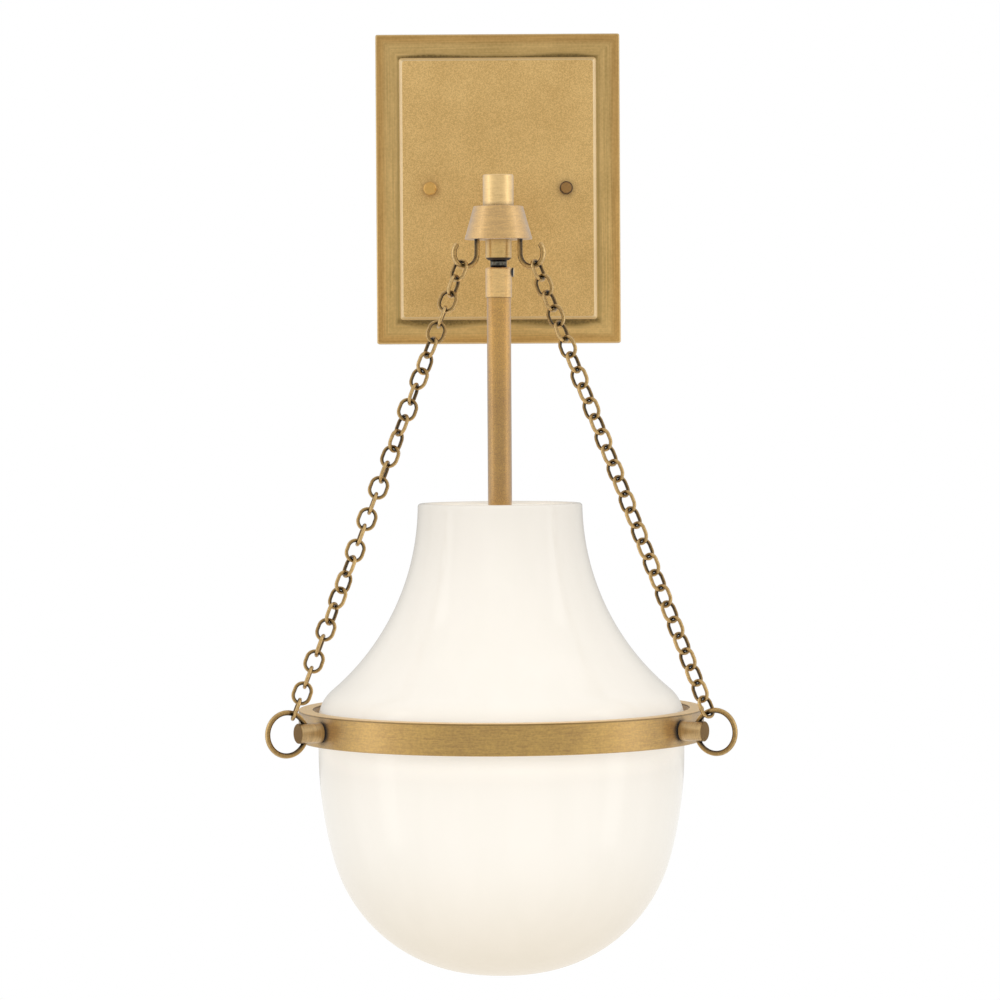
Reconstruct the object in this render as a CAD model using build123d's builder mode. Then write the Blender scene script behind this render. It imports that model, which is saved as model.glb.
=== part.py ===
# Wall sconce: a stepped brass wall plate carries a short arm and a crown.
# A stem with the lamp hangs from the crown's swivel, and three chains hold a banded opal glass shade.
#
# Millimetres. The origin is the centre of the wall plate's back, on the wall.
# +Z is up, the wall is the plane Y = 0, and the lamp stands out towards -Y.
import os
from math import acos, atan2, cos, degrees, radians, sin, sqrt

from build123d import *

# Fits
thread_gap = 0.05       # a thread or spigot in its hole, pieces that stay together
run_gap = 0.08          # a ball or spigot that turns in its seat
link_gap = 0.12         # between two links of a chain
hook_gap = 0.20         # between the top link and its hook
ring_gap = 0.35         # between the lowest link and the ring that it pulls on
ring_hole_gap = 0.30    # round a ring in the hole of its stud

# Wall plate
plate_w = 125.5
plate_h = 159.0
plate_depth = 15.5      # wall to the flat border
plate_corner_r = 1.0
plate_edge_r = 0.8
sheet_t = 1.5
panel_w = 101.0         # foot of the raised panel
panel_h = 135.0
panel_rise = 3.5
panel_bevel = 1.8       # run of the sloping edge

# Fixings behind the plate
fixing_spacing = 69.85
fixing_r = 2.08
cap_nut_r = 3.35
cap_nut_l = 6.0
cap_nut_wall = 1.5      # closed front of the nut
cap_nut_chamfer = 0.7
hex_af = 8.73
hex_t = 3.2
crossbar_w = 16.0
crossbar_t = 2.0
crossbar_corner_r = 2.0
crossbar_end = 4.55     # slot to the end of the bar
box_screw_spacing = 88.9
slot_w = 4.8
slot_l = 10.0
wire_hole_r = 5.0
ground_x = 16.0
ground_r = 1.9
ground_head_r = 3.8
ground_head_t = 2.2

# Arm
axis_out = 138.0        # wall to the lamp's vertical axis
arm_drop = 6.9          # arm below the plate's centre
arm_r = 5.5
arm_thread_r = 4.0
arm_wire_r = 2.4
arm_thread_in = 7.5     # thread behind the panel
washer_r = 8.0
washer_t = 1.0
arm_nut_af = 14.0
arm_nut_t = 4.5

# Crown
post_r = 7.45
post_above = 7.7        # arm axis to the top of the post
post_below = 7.6        # arm axis to the top of the cone
post_seat = 4.5         # lamp axis to the end of the arm tube
post_chamfer = 0.4
cone_top_r = 12.0
cone_r = 16.55
cone_h = 16.1
cone_edge_r = 0.4
hub_r = 6.3
hub_h = 10.0
hub_chamfer = 1.2
hub_thread_r = 5.05     # lower, wider thread of the stepped nipple
hub_thread_l = 3.0
nipple_step = 4.6       # wide thread inside the cone
nipple_wire_r = 2.6
nipple_top_gap = 0.4    # below the arm's nipple

# Hooks
hook_wire_r = 1.25
hook_shank_r = 12.0     # lamp axis to the shank
hook_bend_r = 6.4
hook_drop = 7.0         # cone to the centre of the bend
hook_curl = 225.0       # degrees of the bend
hook_seat = 8.0         # shank inside the cone
hook_tip_r = 0.7

# Swivel
ball_r = 5.0
ball_up = 2.4           # centre of the ball above the hub's lower face
ball_top = 3.4          # flat top of the ball above its centre
neck_r = 4.0
neck_gap = 3.6          # hub to collar
swivel_wire_r = 2.2
groove_r = 3.3
groove_w = 3.6

# Stem
collar_r = 6.4
collar_h = 14.4
collar_chamfer = 0.6
collar_seat = 6.0       # tube inside the collar
spigot_l = 7.6
stem_r = 5.85
stem_wall = 1.0
stem_l = 152.0
set_screw_r = 1.5
set_screw_down = 2.3    # below the collar's top
set_head_r = 2.25
set_head_t = 1.1

# Lampholder and bulb
cap_sleeve_r = 7.6
cap_sleeve_l = 9.0
cap_floor = 2.0
cap_slope_h = 8.0
cap_skirt_h = 5.0
socket_wall = 3.15
socket_h = 42.0
socket_web = 2.0
socket_depth = 25.0     # mouth to web
shell_t = 0.4
shell_gap = 0.5         # screw shell back from the mouth
bulb_base_gap = 0.4     # bulb's screw base inside the shell
base_r = 13.0
base_t = 0.5
base_h = 20.0
contact_r = 4.5
contact_t = 0.8
rivet_r = 1.5
tip_r = 4.0
tip_t = 1.0
tip_gap = 0.3
insulator_h = 3.0
bulb_r = 30.0
bulb_l = 83.0           # screw base to the tip of the glass
bulb_wall = 1.0
bulb_seat = 12.0        # neck inside the screw base

# Shade
glass_r = 88.9
rim_r = 40.0
glass_wall = 3.0
neck_tilt = 50.0        # steepest lean of the neck's flare
shoulder_r = 18.5
side_h = 15.3           # upright stretch behind the band
side_arc_r = 197.2
side_tilt = 15.4
bowl_arc_r = 76.25
bead_w = 2.1
bead_h = 5.5
bead_down = 1.4         # top of the upright stretch to the bead
band_drop = 258.7       # arm axis to the middle of the band
band_t = 6.8
band_h = 15.2
band_edge_r = 0.5
lip_gap = 0.7
lip_t = 2.0
gasket_t = 1.0

# Studs and rings on the band
stud_r = 4.82
stud_l = 12.7
stud_foot_r = 3.6
stud_foot_l = 0.9
stud_chamfer = 0.35
ring_r = 10.2           # centre line
ring_wire_r = 1.27
ring_hole_out = 8.2     # band to the ring's centre line
stud_screw_r = 2.0
stud_screw_head_r = 3.8
stud_screw_in = 4.0     # thread inside the stud
stud_drill_extra = 0.5

# Chains
link_count = 29
link_wire_r = 0.88
link_w = 9.6            # outside width
rear_azimuth = 90.0     # straight towards the wall
# How far the links are rolled about their chain, in degrees, at shares of the way from hook to ring.
# The chains are evenly spaced, in this order.
chain_rolls = {
    "rear": ((0, 0), (1, 0)),
    "left": (
        (0, -21), (0.13, -66), (0.23, -111), (0.32, -156), (0.39, -201), (0.5, -241), (0.61, -249),
        (0.66, -258), (0.73, -291), (0.86, -328), (1, -336),
    ),
    "right": ((0, 2), (0.3, 8), (0.5, 15), (1, 15)),
}

# Heights and places that follow
chain_spread = 360 / len(chain_rolls)
azimuths = {side: rear_azimuth + i * chain_spread for i, side in enumerate(chain_rolls)}
crossbar_l = box_screw_spacing + slot_l + 2 * crossbar_end
plate_front = plate_depth + panel_rise
arm_z = -arm_drop
cone_top_z = arm_z - post_below
cone_z = cone_top_z - cone_h
hub_z = cone_z - hub_h
ball_z = hub_z + ball_up
collar_top_z = hub_z - neck_gap
collar_z = collar_top_z - collar_h
set_screw_z = collar_top_z - set_screw_down
stem_top_z = collar_z + collar_seat
stem_z = stem_top_z - stem_l
socket_top_z = stem_z - cap_floor - cap_slope_h - cap_skirt_h
socket_z = socket_top_z - socket_h
web_z = socket_z + socket_depth
shell_in_r = base_r + bulb_base_gap
socket_in_r = shell_in_r + shell_t + thread_gap
socket_r = socket_in_r + socket_wall
tip_z = web_z - contact_t - tip_gap
base_top_z = tip_z - tip_t - insulator_h
base_z = base_top_z - base_h
band_z = arm_z - band_drop
lip_r = glass_r + lip_gap
bead_r = glass_r + bead_w
band_in_r = bead_r + lip_gap
band_r = band_in_r + band_t
bead_z = band_z - band_h / 2 + lip_t + gasket_t
side_top_z = bead_z + bead_h + bead_down
ring_out = band_r + ring_hole_out + ring_r
bend_out = hook_shank_r + hook_bend_r
bend_z = cone_z - hook_drop

lamp = Plane((0, -axis_out, 0))
lamp_section = Plane.XZ.offset(axis_out)
lamp_axis = Axis((0, -axis_out, 0), (0, 0, 1))
fixings = GridLocations(fixing_spacing, 1, 2, 1)

os.makedirs("parts", exist_ok=True)


def keep(builder, name):
    """Label a finished piece and write it."""
    builder.part.label = name
    export_step(builder.part, f"parts/{name}.step")


def arm_plane(out):
    """Upright plane across the arm, its normal away from the wall."""
    return Plane((0, -out, arm_z), x_dir=(1, 0, 0), z_dir=(0, -1, 0))


def radial_plane(azimuth):
    """Upright plane through the lamp axis: local X points outward, local Y up."""
    a = radians(azimuth)
    return Plane((0, -axis_out, 0), x_dir=(cos(a), sin(a), 0), z_dir=(sin(a), -cos(a), 0))


def radial_axis(azimuth):
    """Level axis of a stud, from the lamp axis outward."""
    a = radians(azimuth)
    return Axis((0, -axis_out, band_z), (cos(a), sin(a), 0))


# Wall plate: a pan of sheet brass, open at the wall, with a raised panel
with BuildPart() as backplate:
    with BuildSketch(Plane.XZ):
        RectangleRounded(plate_w, plate_h, plate_corner_r)
    extrude(amount=plate_depth)
    fillet(backplate.faces().sort_by(Axis.Y)[0].edges(), plate_edge_r)
    bevel_angle = degrees(atan2(panel_bevel, panel_rise))
    with BuildSketch(Plane.XZ.offset(plate_depth)):
        Rectangle(panel_w, panel_h)
    extrude(amount=panel_rise, taper=bevel_angle)
    with BuildSketch(Plane.XZ):
        Rectangle(plate_w - 2 * sheet_t, plate_h - 2 * sheet_t)
    extrude(amount=plate_depth - sheet_t, mode=Mode.SUBTRACT)
    with BuildSketch(Plane.XZ.offset(plate_depth - sheet_t)):
        Rectangle(panel_w - 2 * sheet_t, panel_h - 2 * sheet_t)
    extrude(amount=panel_rise, taper=bevel_angle, mode=Mode.SUBTRACT)
    with BuildSketch(Plane.XZ):
        with fixings:
            Circle(fixing_r + thread_gap)
        with Locations((0, arm_z)):
            Circle(arm_thread_r + thread_gap)
    extrude(amount=plate_front, mode=Mode.SUBTRACT)
keep(backplate, "backplate")

# Crossbar that is screwed to the outlet box
with BuildPart() as crossbar:
    with BuildSketch(Plane.XZ):
        RectangleRounded(crossbar_l, crossbar_w, crossbar_corner_r)
        with fixings:
            Circle(fixing_r + thread_gap, mode=Mode.SUBTRACT)
        with GridLocations(box_screw_spacing, 1, 2, 1):
            SlotOverall(slot_l, slot_w, mode=Mode.SUBTRACT)
        with Locations((ground_x, 0)):
            Circle(ground_r + thread_gap, mode=Mode.SUBTRACT)
        Circle(wire_hole_r, mode=Mode.SUBTRACT)
    extrude(amount=crossbar_t)
keep(crossbar, "crossbar")

with BuildPart() as plate_studs:
    with BuildSketch(Plane.XZ):
        with fixings:
            Circle(fixing_r)
    extrude(amount=plate_front + cap_nut_l - cap_nut_wall - thread_gap)
keep(plate_studs, "plate_studs")

with BuildPart() as stud_lock_nuts:
    with BuildSketch(Plane.XZ.offset(crossbar_t)):
        with fixings:
            RegularPolygon(hex_af / 2, 6, major_radius=False)
            Circle(fixing_r + thread_gap, mode=Mode.SUBTRACT)
    extrude(amount=hex_t)
keep(stud_lock_nuts, "stud_lock_nuts")

with BuildPart() as cap_nuts:
    with BuildSketch(Plane.XZ.offset(plate_front)):
        with fixings:
            Circle(cap_nut_r)
    extrude(amount=cap_nut_l)
    chamfer(cap_nuts.faces().filter_by(Axis.Y).group_by(Axis.Y)[0].edges(), cap_nut_chamfer)
    with BuildSketch(Plane.XZ.offset(plate_front)):
        with fixings:
            Circle(fixing_r + thread_gap)
    extrude(amount=cap_nut_l - cap_nut_wall, mode=Mode.SUBTRACT)
keep(cap_nuts, "cap_nuts")

with BuildPart() as ground_screw:
    with BuildSketch(Plane.XZ):
        with Locations((ground_x, 0)):
            Circle(ground_r)
    extrude(amount=crossbar_t)
    with BuildSketch(Plane.XZ.offset(crossbar_t)):
        with Locations((ground_x, 0)):
            RegularPolygon(ground_head_r, 6)
    extrude(amount=ground_head_t)
keep(ground_screw, "ground_screw")

# Arm: a threaded tube inside a plain one, drawn tight by a nut behind the panel
panel_back = plate_front - sheet_t
with BuildPart() as arm_tube:
    with BuildSketch(arm_plane(plate_front)):
        Circle(arm_r)
        Circle(arm_thread_r + thread_gap, mode=Mode.SUBTRACT)
    extrude(amount=axis_out - post_seat - plate_front)
keep(arm_tube, "arm_tube")

with BuildPart() as arm_nipple:
    with BuildSketch(arm_plane(panel_back - arm_thread_in)):
        Circle(arm_thread_r)
        Circle(arm_wire_r, mode=Mode.SUBTRACT)
    extrude(amount=axis_out - panel_back + arm_thread_in)
keep(arm_nipple, "arm_nipple")

with BuildPart() as arm_washer:
    with BuildSketch(arm_plane(panel_back - washer_t)):
        Circle(washer_r)
        Circle(arm_thread_r + thread_gap, mode=Mode.SUBTRACT)
    extrude(amount=washer_t)
keep(arm_washer, "arm_washer")

with BuildPart() as arm_nut:
    with BuildSketch(arm_plane(panel_back - washer_t - arm_nut_t)):
        RegularPolygon(arm_nut_af / 2, 6, major_radius=False)
        Circle(arm_thread_r + thread_gap, mode=Mode.SUBTRACT)
    extrude(amount=arm_nut_t)
keep(arm_nut, "arm_nut")

# Crown: post, cone and hub, held together by a stepped nipple
with BuildPart() as crown_post:
    with BuildSketch(lamp.offset(cone_top_z)):
        Circle(post_r)
    extrude(amount=post_above + post_below)
    chamfer(crown_post.faces().sort_by(Axis.Z)[-1].edges(), post_chamfer)
    with BuildSketch(arm_plane(axis_out - post_seat)):
        Circle(arm_r + thread_gap)
    extrude(amount=-post_r, mode=Mode.SUBTRACT)
    with BuildSketch(arm_plane(axis_out - post_seat)):
        Circle(arm_thread_r + thread_gap)
    extrude(amount=2 * post_seat, mode=Mode.SUBTRACT)
    with BuildSketch(lamp.offset(cone_top_z)):
        Circle(arm_thread_r + thread_gap)
    extrude(amount=post_below, mode=Mode.SUBTRACT)
keep(crown_post, "crown_post")

with BuildPart() as crown_nipple:
    with BuildSketch(lamp.offset(cone_z - hub_thread_l)):
        Circle(hub_thread_r)
    extrude(amount=hub_thread_l + nipple_step)
    with BuildSketch(lamp.offset(cone_z + nipple_step)):
        Circle(arm_thread_r)
    extrude(amount=arm_z - arm_thread_r - nipple_top_gap - cone_z - nipple_step)
    with BuildSketch(lamp.offset(cone_z - hub_thread_l)):
        Circle(nipple_wire_r)
    extrude(amount=hub_thread_l + cone_h + post_below, mode=Mode.SUBTRACT)
keep(crown_nipple, "crown_nipple")

with BuildPart() as crown_cone:
    with BuildSketch(lamp_section):
        with BuildLine():
            Polyline(
                (arm_thread_r + thread_gap, cone_top_z),
                (cone_top_r, cone_top_z),
                (cone_r, cone_z),
                (hub_thread_r + thread_gap, cone_z),
                (hub_thread_r + thread_gap, cone_z + nipple_step),
                (arm_thread_r + thread_gap, cone_z + nipple_step),
                close=True,
            )
        make_face()
    revolve(axis=lamp_axis)
    fillet(crown_cone.edges().filter_by(GeomType.CIRCLE).sort_by(SortBy.RADIUS)[-2:], cone_edge_r)
    with BuildSketch(lamp.offset(cone_z)):
        for azimuth in azimuths.values():
            with PolarLocations(hook_shank_r, 1, azimuth):
                Circle(hook_wire_r + thread_gap)
    extrude(amount=hook_seat, mode=Mode.SUBTRACT)
keep(crown_cone, "crown_cone")

with BuildPart() as crown_hub:
    seat_r = ball_r + run_gap
    seat_mouth_r = sqrt(seat_r**2 - ball_up**2)
    with BuildSketch(lamp_section):
        with BuildLine():
            Polyline(
                (seat_mouth_r, hub_z),
                (hub_r - hub_chamfer, hub_z),
                (hub_r, hub_z + hub_chamfer),
                (hub_r, cone_z),
                (hub_thread_r + thread_gap, cone_z),
                (hub_thread_r + thread_gap, cone_z - hub_thread_l - thread_gap),
                (seat_r, cone_z - hub_thread_l - thread_gap),
                (seat_r, ball_z),
            )
            RadiusArc((seat_r, ball_z), (seat_mouth_r, hub_z), seat_r)
        make_face()
    revolve(axis=lamp_axis)
keep(crown_hub, "crown_hub")

# Hooks: bent wire, each in the upright plane of its chain
for side, azimuth in azimuths.items():
    with BuildPart() as hook:
        with BuildLine(radial_plane(azimuth)) as hook_path:
            shank = Line((hook_shank_r, cone_z + hook_seat), (hook_shank_r, bend_z))
            JernArc(shank @ 1, shank % 1, hook_bend_r, hook_curl)
        with BuildSketch(Plane(hook_path.line @ 0, z_dir=hook_path.line % 0)):
            Circle(hook_wire_r)
        sweep()
        tip = hook.faces().filter_by(GeomType.PLANE).sort_by(Axis.Z)[0]
        fillet(tip.edges(), hook_tip_r)
    keep(hook, f"hook_{side}")

# Swivel: a ball that sits in the hub, with a grooved neck for the collar
with BuildPart() as swivel_ball:
    flat_r = sqrt(ball_r**2 - ball_top**2)
    neck_top_z = ball_z - sqrt(ball_r**2 - neck_r**2)
    spigot_z = collar_top_z - spigot_l
    groove_top_z = set_screw_z + groove_w / 2
    groove_z = set_screw_z - groove_w / 2
    with BuildSketch(lamp_section):
        with BuildLine():
            ThreePointArc((flat_r, ball_z + ball_top), (ball_r, ball_z), (neck_r, neck_top_z))
            Polyline(
                (neck_r, neck_top_z),
                (neck_r, groove_top_z),
                (groove_r, groove_top_z),
                (groove_r, groove_z),
                (neck_r, groove_z),
                (neck_r, spigot_z),
                (swivel_wire_r, spigot_z),
                (swivel_wire_r, ball_z + ball_top),
                (flat_r, ball_z + ball_top),
            )
        make_face()
    revolve(axis=lamp_axis)
keep(swivel_ball, "swivel_ball")

# Stem
with BuildPart() as stem_collar:
    with BuildSketch(lamp.offset(collar_z)):
        Circle(collar_r)
    extrude(amount=collar_h)
    chamfer(stem_collar.faces().sort_by(Axis.Z)[-1].edges(), collar_chamfer)
    with BuildSketch(lamp.offset(collar_z)):
        Circle(stem_r + thread_gap)
    extrude(amount=collar_seat, mode=Mode.SUBTRACT)
    with BuildSketch(lamp.offset(collar_z)):
        Circle(neck_r + run_gap)
    extrude(amount=collar_h, mode=Mode.SUBTRACT)
    with BuildSketch(Plane((0, -axis_out, set_screw_z), z_dir=(1, 0, 0))):
        Circle(set_screw_r + thread_gap)
    extrude(amount=collar_r, mode=Mode.SUBTRACT)
keep(stem_collar, "stem_collar")

with BuildPart() as set_screw:
    screw_plane = Plane((0, -axis_out, set_screw_z), z_dir=(1, 0, 0))
    with BuildSketch(screw_plane.offset(groove_r + thread_gap)):
        Circle(set_screw_r)
    extrude(amount=collar_r - groove_r)
    with BuildSketch(screw_plane.offset(collar_r + thread_gap)):
        Circle(set_head_r)
    extrude(amount=set_head_t)
keep(set_screw, "set_screw")

with BuildPart() as stem_tube:
    with BuildSketch(lamp.offset(stem_z)):
        Circle(stem_r)
        Circle(stem_r - stem_wall, mode=Mode.SUBTRACT)
    extrude(amount=stem_l)
keep(stem_tube, "stem_tube")

# Lampholder
with BuildPart() as socket_cap:
    skirt_top_z = socket_top_z + cap_skirt_h
    with BuildSketch(lamp_section):
        with BuildLine():
            Polyline(
                (stem_r + thread_gap, stem_z + cap_sleeve_l),
                (cap_sleeve_r, stem_z + cap_sleeve_l),
                (cap_sleeve_r, stem_z - cap_floor),
                (socket_r, skirt_top_z),
                (socket_r, socket_top_z),
                (socket_in_r, socket_top_z),
                (socket_in_r, skirt_top_z - cap_floor),
                (stem_r - stem_wall, stem_z - cap_floor),
                (stem_r - stem_wall, stem_z),
                (stem_r + thread_gap, stem_z),
                close=True,
            )
        make_face()
    revolve(axis=lamp_axis)
keep(socket_cap, "socket_cap")

with BuildPart() as socket_body:
    with BuildSketch(lamp.offset(socket_z)):
        Circle(socket_r)
    extrude(amount=socket_h)
    with BuildSketch(lamp.offset(socket_z)):
        Circle(socket_in_r)
    extrude(amount=socket_depth, mode=Mode.SUBTRACT)
    with BuildSketch(lamp.offset(web_z + socket_web)):
        Circle(socket_in_r)
    extrude(amount=socket_h - socket_depth - socket_web, mode=Mode.SUBTRACT)
    with BuildSketch(lamp.offset(web_z)):
        Circle(rivet_r + thread_gap)
    extrude(amount=socket_web, mode=Mode.SUBTRACT)
keep(socket_body, "socket_body")

with BuildPart() as socket_shell:
    with BuildSketch(lamp.offset(socket_z + shell_gap)):
        Circle(shell_in_r + shell_t)
        Circle(shell_in_r, mode=Mode.SUBTRACT)
    extrude(amount=socket_depth - shell_gap)
keep(socket_shell, "socket_shell")

with BuildPart() as centre_contact:
    with BuildSketch(lamp.offset(web_z - contact_t)):
        Circle(contact_r)
    extrude(amount=contact_t)
    with BuildSketch(lamp.offset(web_z)):
        Circle(rivet_r)
    extrude(amount=socket_web + contact_t)
    with BuildSketch(lamp.offset(web_z + socket_web)):
        Circle(2 * rivet_r)
    extrude(amount=contact_t)
keep(centre_contact, "centre_contact")

# Bulb
with BuildPart() as bulb_base:
    with BuildSketch(lamp.offset(base_z)):
        Circle(base_r)
        Circle(base_r - base_t, mode=Mode.SUBTRACT)
    extrude(amount=base_h)
keep(bulb_base, "bulb_base")

with BuildPart() as bulb_insulator:
    with BuildSketch(lamp.offset(base_top_z)):
        Circle(base_r)
    with BuildSketch(lamp.offset(base_top_z + insulator_h)):
        Circle(tip_r)
    loft()
keep(bulb_insulator, "bulb_insulator")

with BuildPart() as bulb_contact:
    with BuildSketch(lamp.offset(tip_z - tip_t)):
        Circle(tip_r)
    extrude(amount=tip_t)
keep(bulb_contact, "bulb_contact")


def bulb_outline(inset):
    """Half outline of the bulb: a straight neck, a flank that touches the globe, and the globe."""
    neck = base_r - base_t - thread_gap - inset
    globe = bulb_r - inset
    globe_z = base_z - bulb_l + bulb_r
    rise = base_z - globe_z
    reach = sqrt(neck**2 + rise**2)
    touch = atan2(rise, neck) - acos(globe / reach)
    touch_point = (globe * cos(touch), globe_z + globe * sin(touch))
    belly = (globe * cos(radians(-45)), globe_z + globe * sin(radians(-45)))
    Polyline((0, base_z + bulb_seat - inset), (neck, base_z + bulb_seat - inset), (neck, base_z), touch_point)
    ThreePointArc(touch_point, belly, (0, globe_z - globe))
    Line((0, globe_z - globe), (0, base_z + bulb_seat - inset))


with BuildPart() as bulb_glass:
    for inset, mode in ((0, Mode.ADD), (bulb_wall, Mode.SUBTRACT)):
        with BuildSketch(lamp_section):
            with BuildLine():
                bulb_outline(inset)
            make_face()
        revolve(axis=lamp_axis, mode=mode)
keep(bulb_glass, "bulb_glass")


# Shade
def glass_outline(inset):
    """Half outline of the glass: flared neck, shoulder, upright side, bowl and flat foot.

    Every stretch meets the next one smoothly, so an inset keeps the same centres.
    """
    lean = radians(neck_tilt)
    side_lean = radians(side_tilt)
    flare_r = (glass_r - rim_r) / (1 - cos(lean)) - shoulder_r
    rim_z = side_top_z + (flare_r + shoulder_r) * sin(lean)
    flare_centre = Vector(rim_r + flare_r, rim_z)
    shoulder_centre = Vector(glass_r - shoulder_r, side_top_z)
    bowl_top_z = side_top_z - side_h
    side_centre = Vector(glass_r - side_arc_r, bowl_top_z)
    bowl_centre = side_centre + Vector(cos(side_lean), -sin(side_lean)) * (side_arc_r - bowl_arc_r)

    def on_arc(centre, radius, angle):
        return centre + Vector(cos(angle), sin(angle)) * radius

    flare = [on_arc(flare_centre, flare_r + inset, radians(180) + lean * t) for t in (0, 0.5, 1)]
    shoulder = [on_arc(shoulder_centre, shoulder_r - inset, lean * t) for t in (1, 0.5, 0)]
    side = [on_arc(side_centre, side_arc_r - inset, -side_lean * t) for t in (0, 0.5, 1)]
    turn = radians(90) - side_lean
    bowl = [on_arc(bowl_centre, bowl_arc_r - inset, -side_lean - turn * t) for t in (0, 0.5, 1)]
    top = Vector(0, rim_z)
    foot = Vector(0, bowl[2].Y)
    Line(top, flare[0])
    ThreePointArc(*flare)
    ThreePointArc(*shoulder)
    Line(shoulder[2], side[0])
    ThreePointArc(*side)
    ThreePointArc(*bowl)
    Line(bowl[2], foot)
    Line(foot, top)


with BuildPart() as glass_shade:
    for inset, mode in ((0, Mode.ADD), (glass_wall, Mode.SUBTRACT)):
        with BuildSketch(lamp_section):
            with BuildLine():
                glass_outline(inset)
            make_face()
        revolve(axis=lamp_axis, mode=mode)
    with BuildSketch(lamp.offset(bead_z)):
        Circle(bead_r)
        Circle(glass_r - glass_wall / 2, mode=Mode.SUBTRACT)
    extrude(amount=bead_h)
keep(glass_shade, "glass_shade")

with BuildPart() as shade_band:
    with BuildSketch(lamp.offset(band_z - band_h / 2)):
        Circle(band_r)
        Circle(band_in_r, mode=Mode.SUBTRACT)
    extrude(amount=band_h)
    fillet(shade_band.edges().filter_by(GeomType.CIRCLE).sort_by(SortBy.RADIUS)[-2:], band_edge_r)
    with BuildSketch(lamp.offset(band_z - band_h / 2)):
        Circle(band_in_r + band_t / 2)
        Circle(lip_r, mode=Mode.SUBTRACT)
    extrude(amount=lip_t)
    for azimuth in azimuths.values():
        with BuildSketch(radial_plane(azimuth)):
            with BuildLine():
                head_h = stud_screw_head_r - stud_screw_r
                Polyline(
                    (band_in_r - head_h, band_z),
                    (band_in_r - head_h, band_z + stud_screw_head_r + head_h + thread_gap),
                    (band_in_r + head_h, band_z + stud_screw_r + thread_gap),
                    (band_r + head_h, band_z + stud_screw_r + thread_gap),
                    (band_r + head_h, band_z),
                    close=True,
                )
            make_face()
        revolve(axis=radial_axis(azimuth), mode=Mode.SUBTRACT)
keep(shade_band, "shade_band")

with BuildPart() as glass_gasket:
    with BuildSketch(lamp.offset(bead_z - gasket_t)):
        Circle(bead_r)
        Circle(lip_r, mode=Mode.SUBTRACT)
    extrude(amount=gasket_t)
keep(glass_gasket, "glass_gasket")

# Studs, each with a curved hole that its ring runs through
for side, azimuth in azimuths.items():
    with BuildPart() as stud:
        with BuildSketch(radial_plane(azimuth)):
            with BuildLine():
                Polyline(
                    (band_r, band_z),
                    (band_r, band_z + stud_foot_r),
                    (band_r + stud_foot_l, band_z + stud_foot_r),
                    (band_r + stud_foot_l, band_z + stud_r),
                    (band_r + stud_l - stud_chamfer, band_z + stud_r),
                    (band_r + stud_l, band_z + stud_r - stud_chamfer),
                    (band_r + stud_l, band_z),
                    close=True,
                )
            make_face()
        revolve(axis=radial_axis(azimuth))
        with BuildSketch(radial_plane(azimuth)):
            drill_l = stud_screw_in + stud_drill_extra
            with Locations((band_r + drill_l / 2, band_z + (stud_screw_r + thread_gap) / 2)):
                Rectangle(drill_l, stud_screw_r + thread_gap)
        revolve(axis=radial_axis(azimuth), mode=Mode.SUBTRACT)
        ring_centre = radial_plane(azimuth).from_local_coords((ring_out, band_z, 0))
        ring_plane = Plane(ring_centre, z_dir=radial_plane(azimuth).z_dir)
        with Locations(ring_plane):
            Torus(ring_r, ring_wire_r + ring_hole_gap, mode=Mode.SUBTRACT)
    keep(stud, f"stud_{side}")

    with BuildPart() as ring:
        with Locations(ring_plane):
            Torus(ring_r, ring_wire_r)
    keep(ring, f"ring_{side}")

with BuildPart() as stud_screws:
    for azimuth in azimuths.values():
        with BuildSketch(radial_plane(azimuth)):
            with BuildLine():
                head_h = stud_screw_head_r - stud_screw_r
                Polyline(
                    (band_in_r, band_z),
                    (band_in_r, band_z + stud_screw_head_r),
                    (band_in_r + head_h, band_z + stud_screw_r),
                    (band_r + stud_screw_in, band_z + stud_screw_r),
                    (band_r + stud_screw_in, band_z),
                    close=True,
                )
            make_face()
        revolve(axis=radial_axis(azimuth))
keep(stud_screws, "stud_screws")

# Chains: each runs from its hook's bend to its ring's centre, links turned in pairs
chain_run = sqrt((ring_out - bend_out) ** 2 + (bend_z - band_z) ** 2)
chain_lean = atan2(ring_out - bend_out, bend_z - band_z)
chain_start = hook_bend_r - hook_wire_r - hook_gap - link_wire_r
chain_end = chain_run - (ring_r - ring_wire_r - ring_gap - link_wire_r)
link_step = 2 * link_wire_r + link_gap
link_reach = (chain_end - chain_start + (link_count - 1) * link_step) / link_count
link_pitch = link_reach - link_step
link_bend_r = link_w / 2 - link_wire_r
with BuildPart() as link:
    with BuildLine() as link_path:
        straight = link_reach - 2 * link_bend_r
        top = Line((-straight / 2, link_bend_r), (straight / 2, link_bend_r))
        right = JernArc(top @ 1, top % 1, link_bend_r, -180)
        bottom = Line(right @ 1, (-straight / 2, -link_bend_r))
        JernArc(bottom @ 1, bottom % 1, link_bend_r, -180)
    with BuildSketch(Plane((0, link_bend_r, 0), z_dir=(1, 0, 0))):
        Circle(link_wire_r)
    sweep()


def link_roll(side, share):
    """Roll of a link at a share of the way along its chain, on the straight line between two given places."""
    places = chain_rolls[side]
    for (share_a, roll_a), (share_b, roll_b) in zip(places, places[1:]):
        if share <= share_b:
            return roll_a + (roll_b - roll_a) * (share - share_a) / (share_b - share_a)


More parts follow.
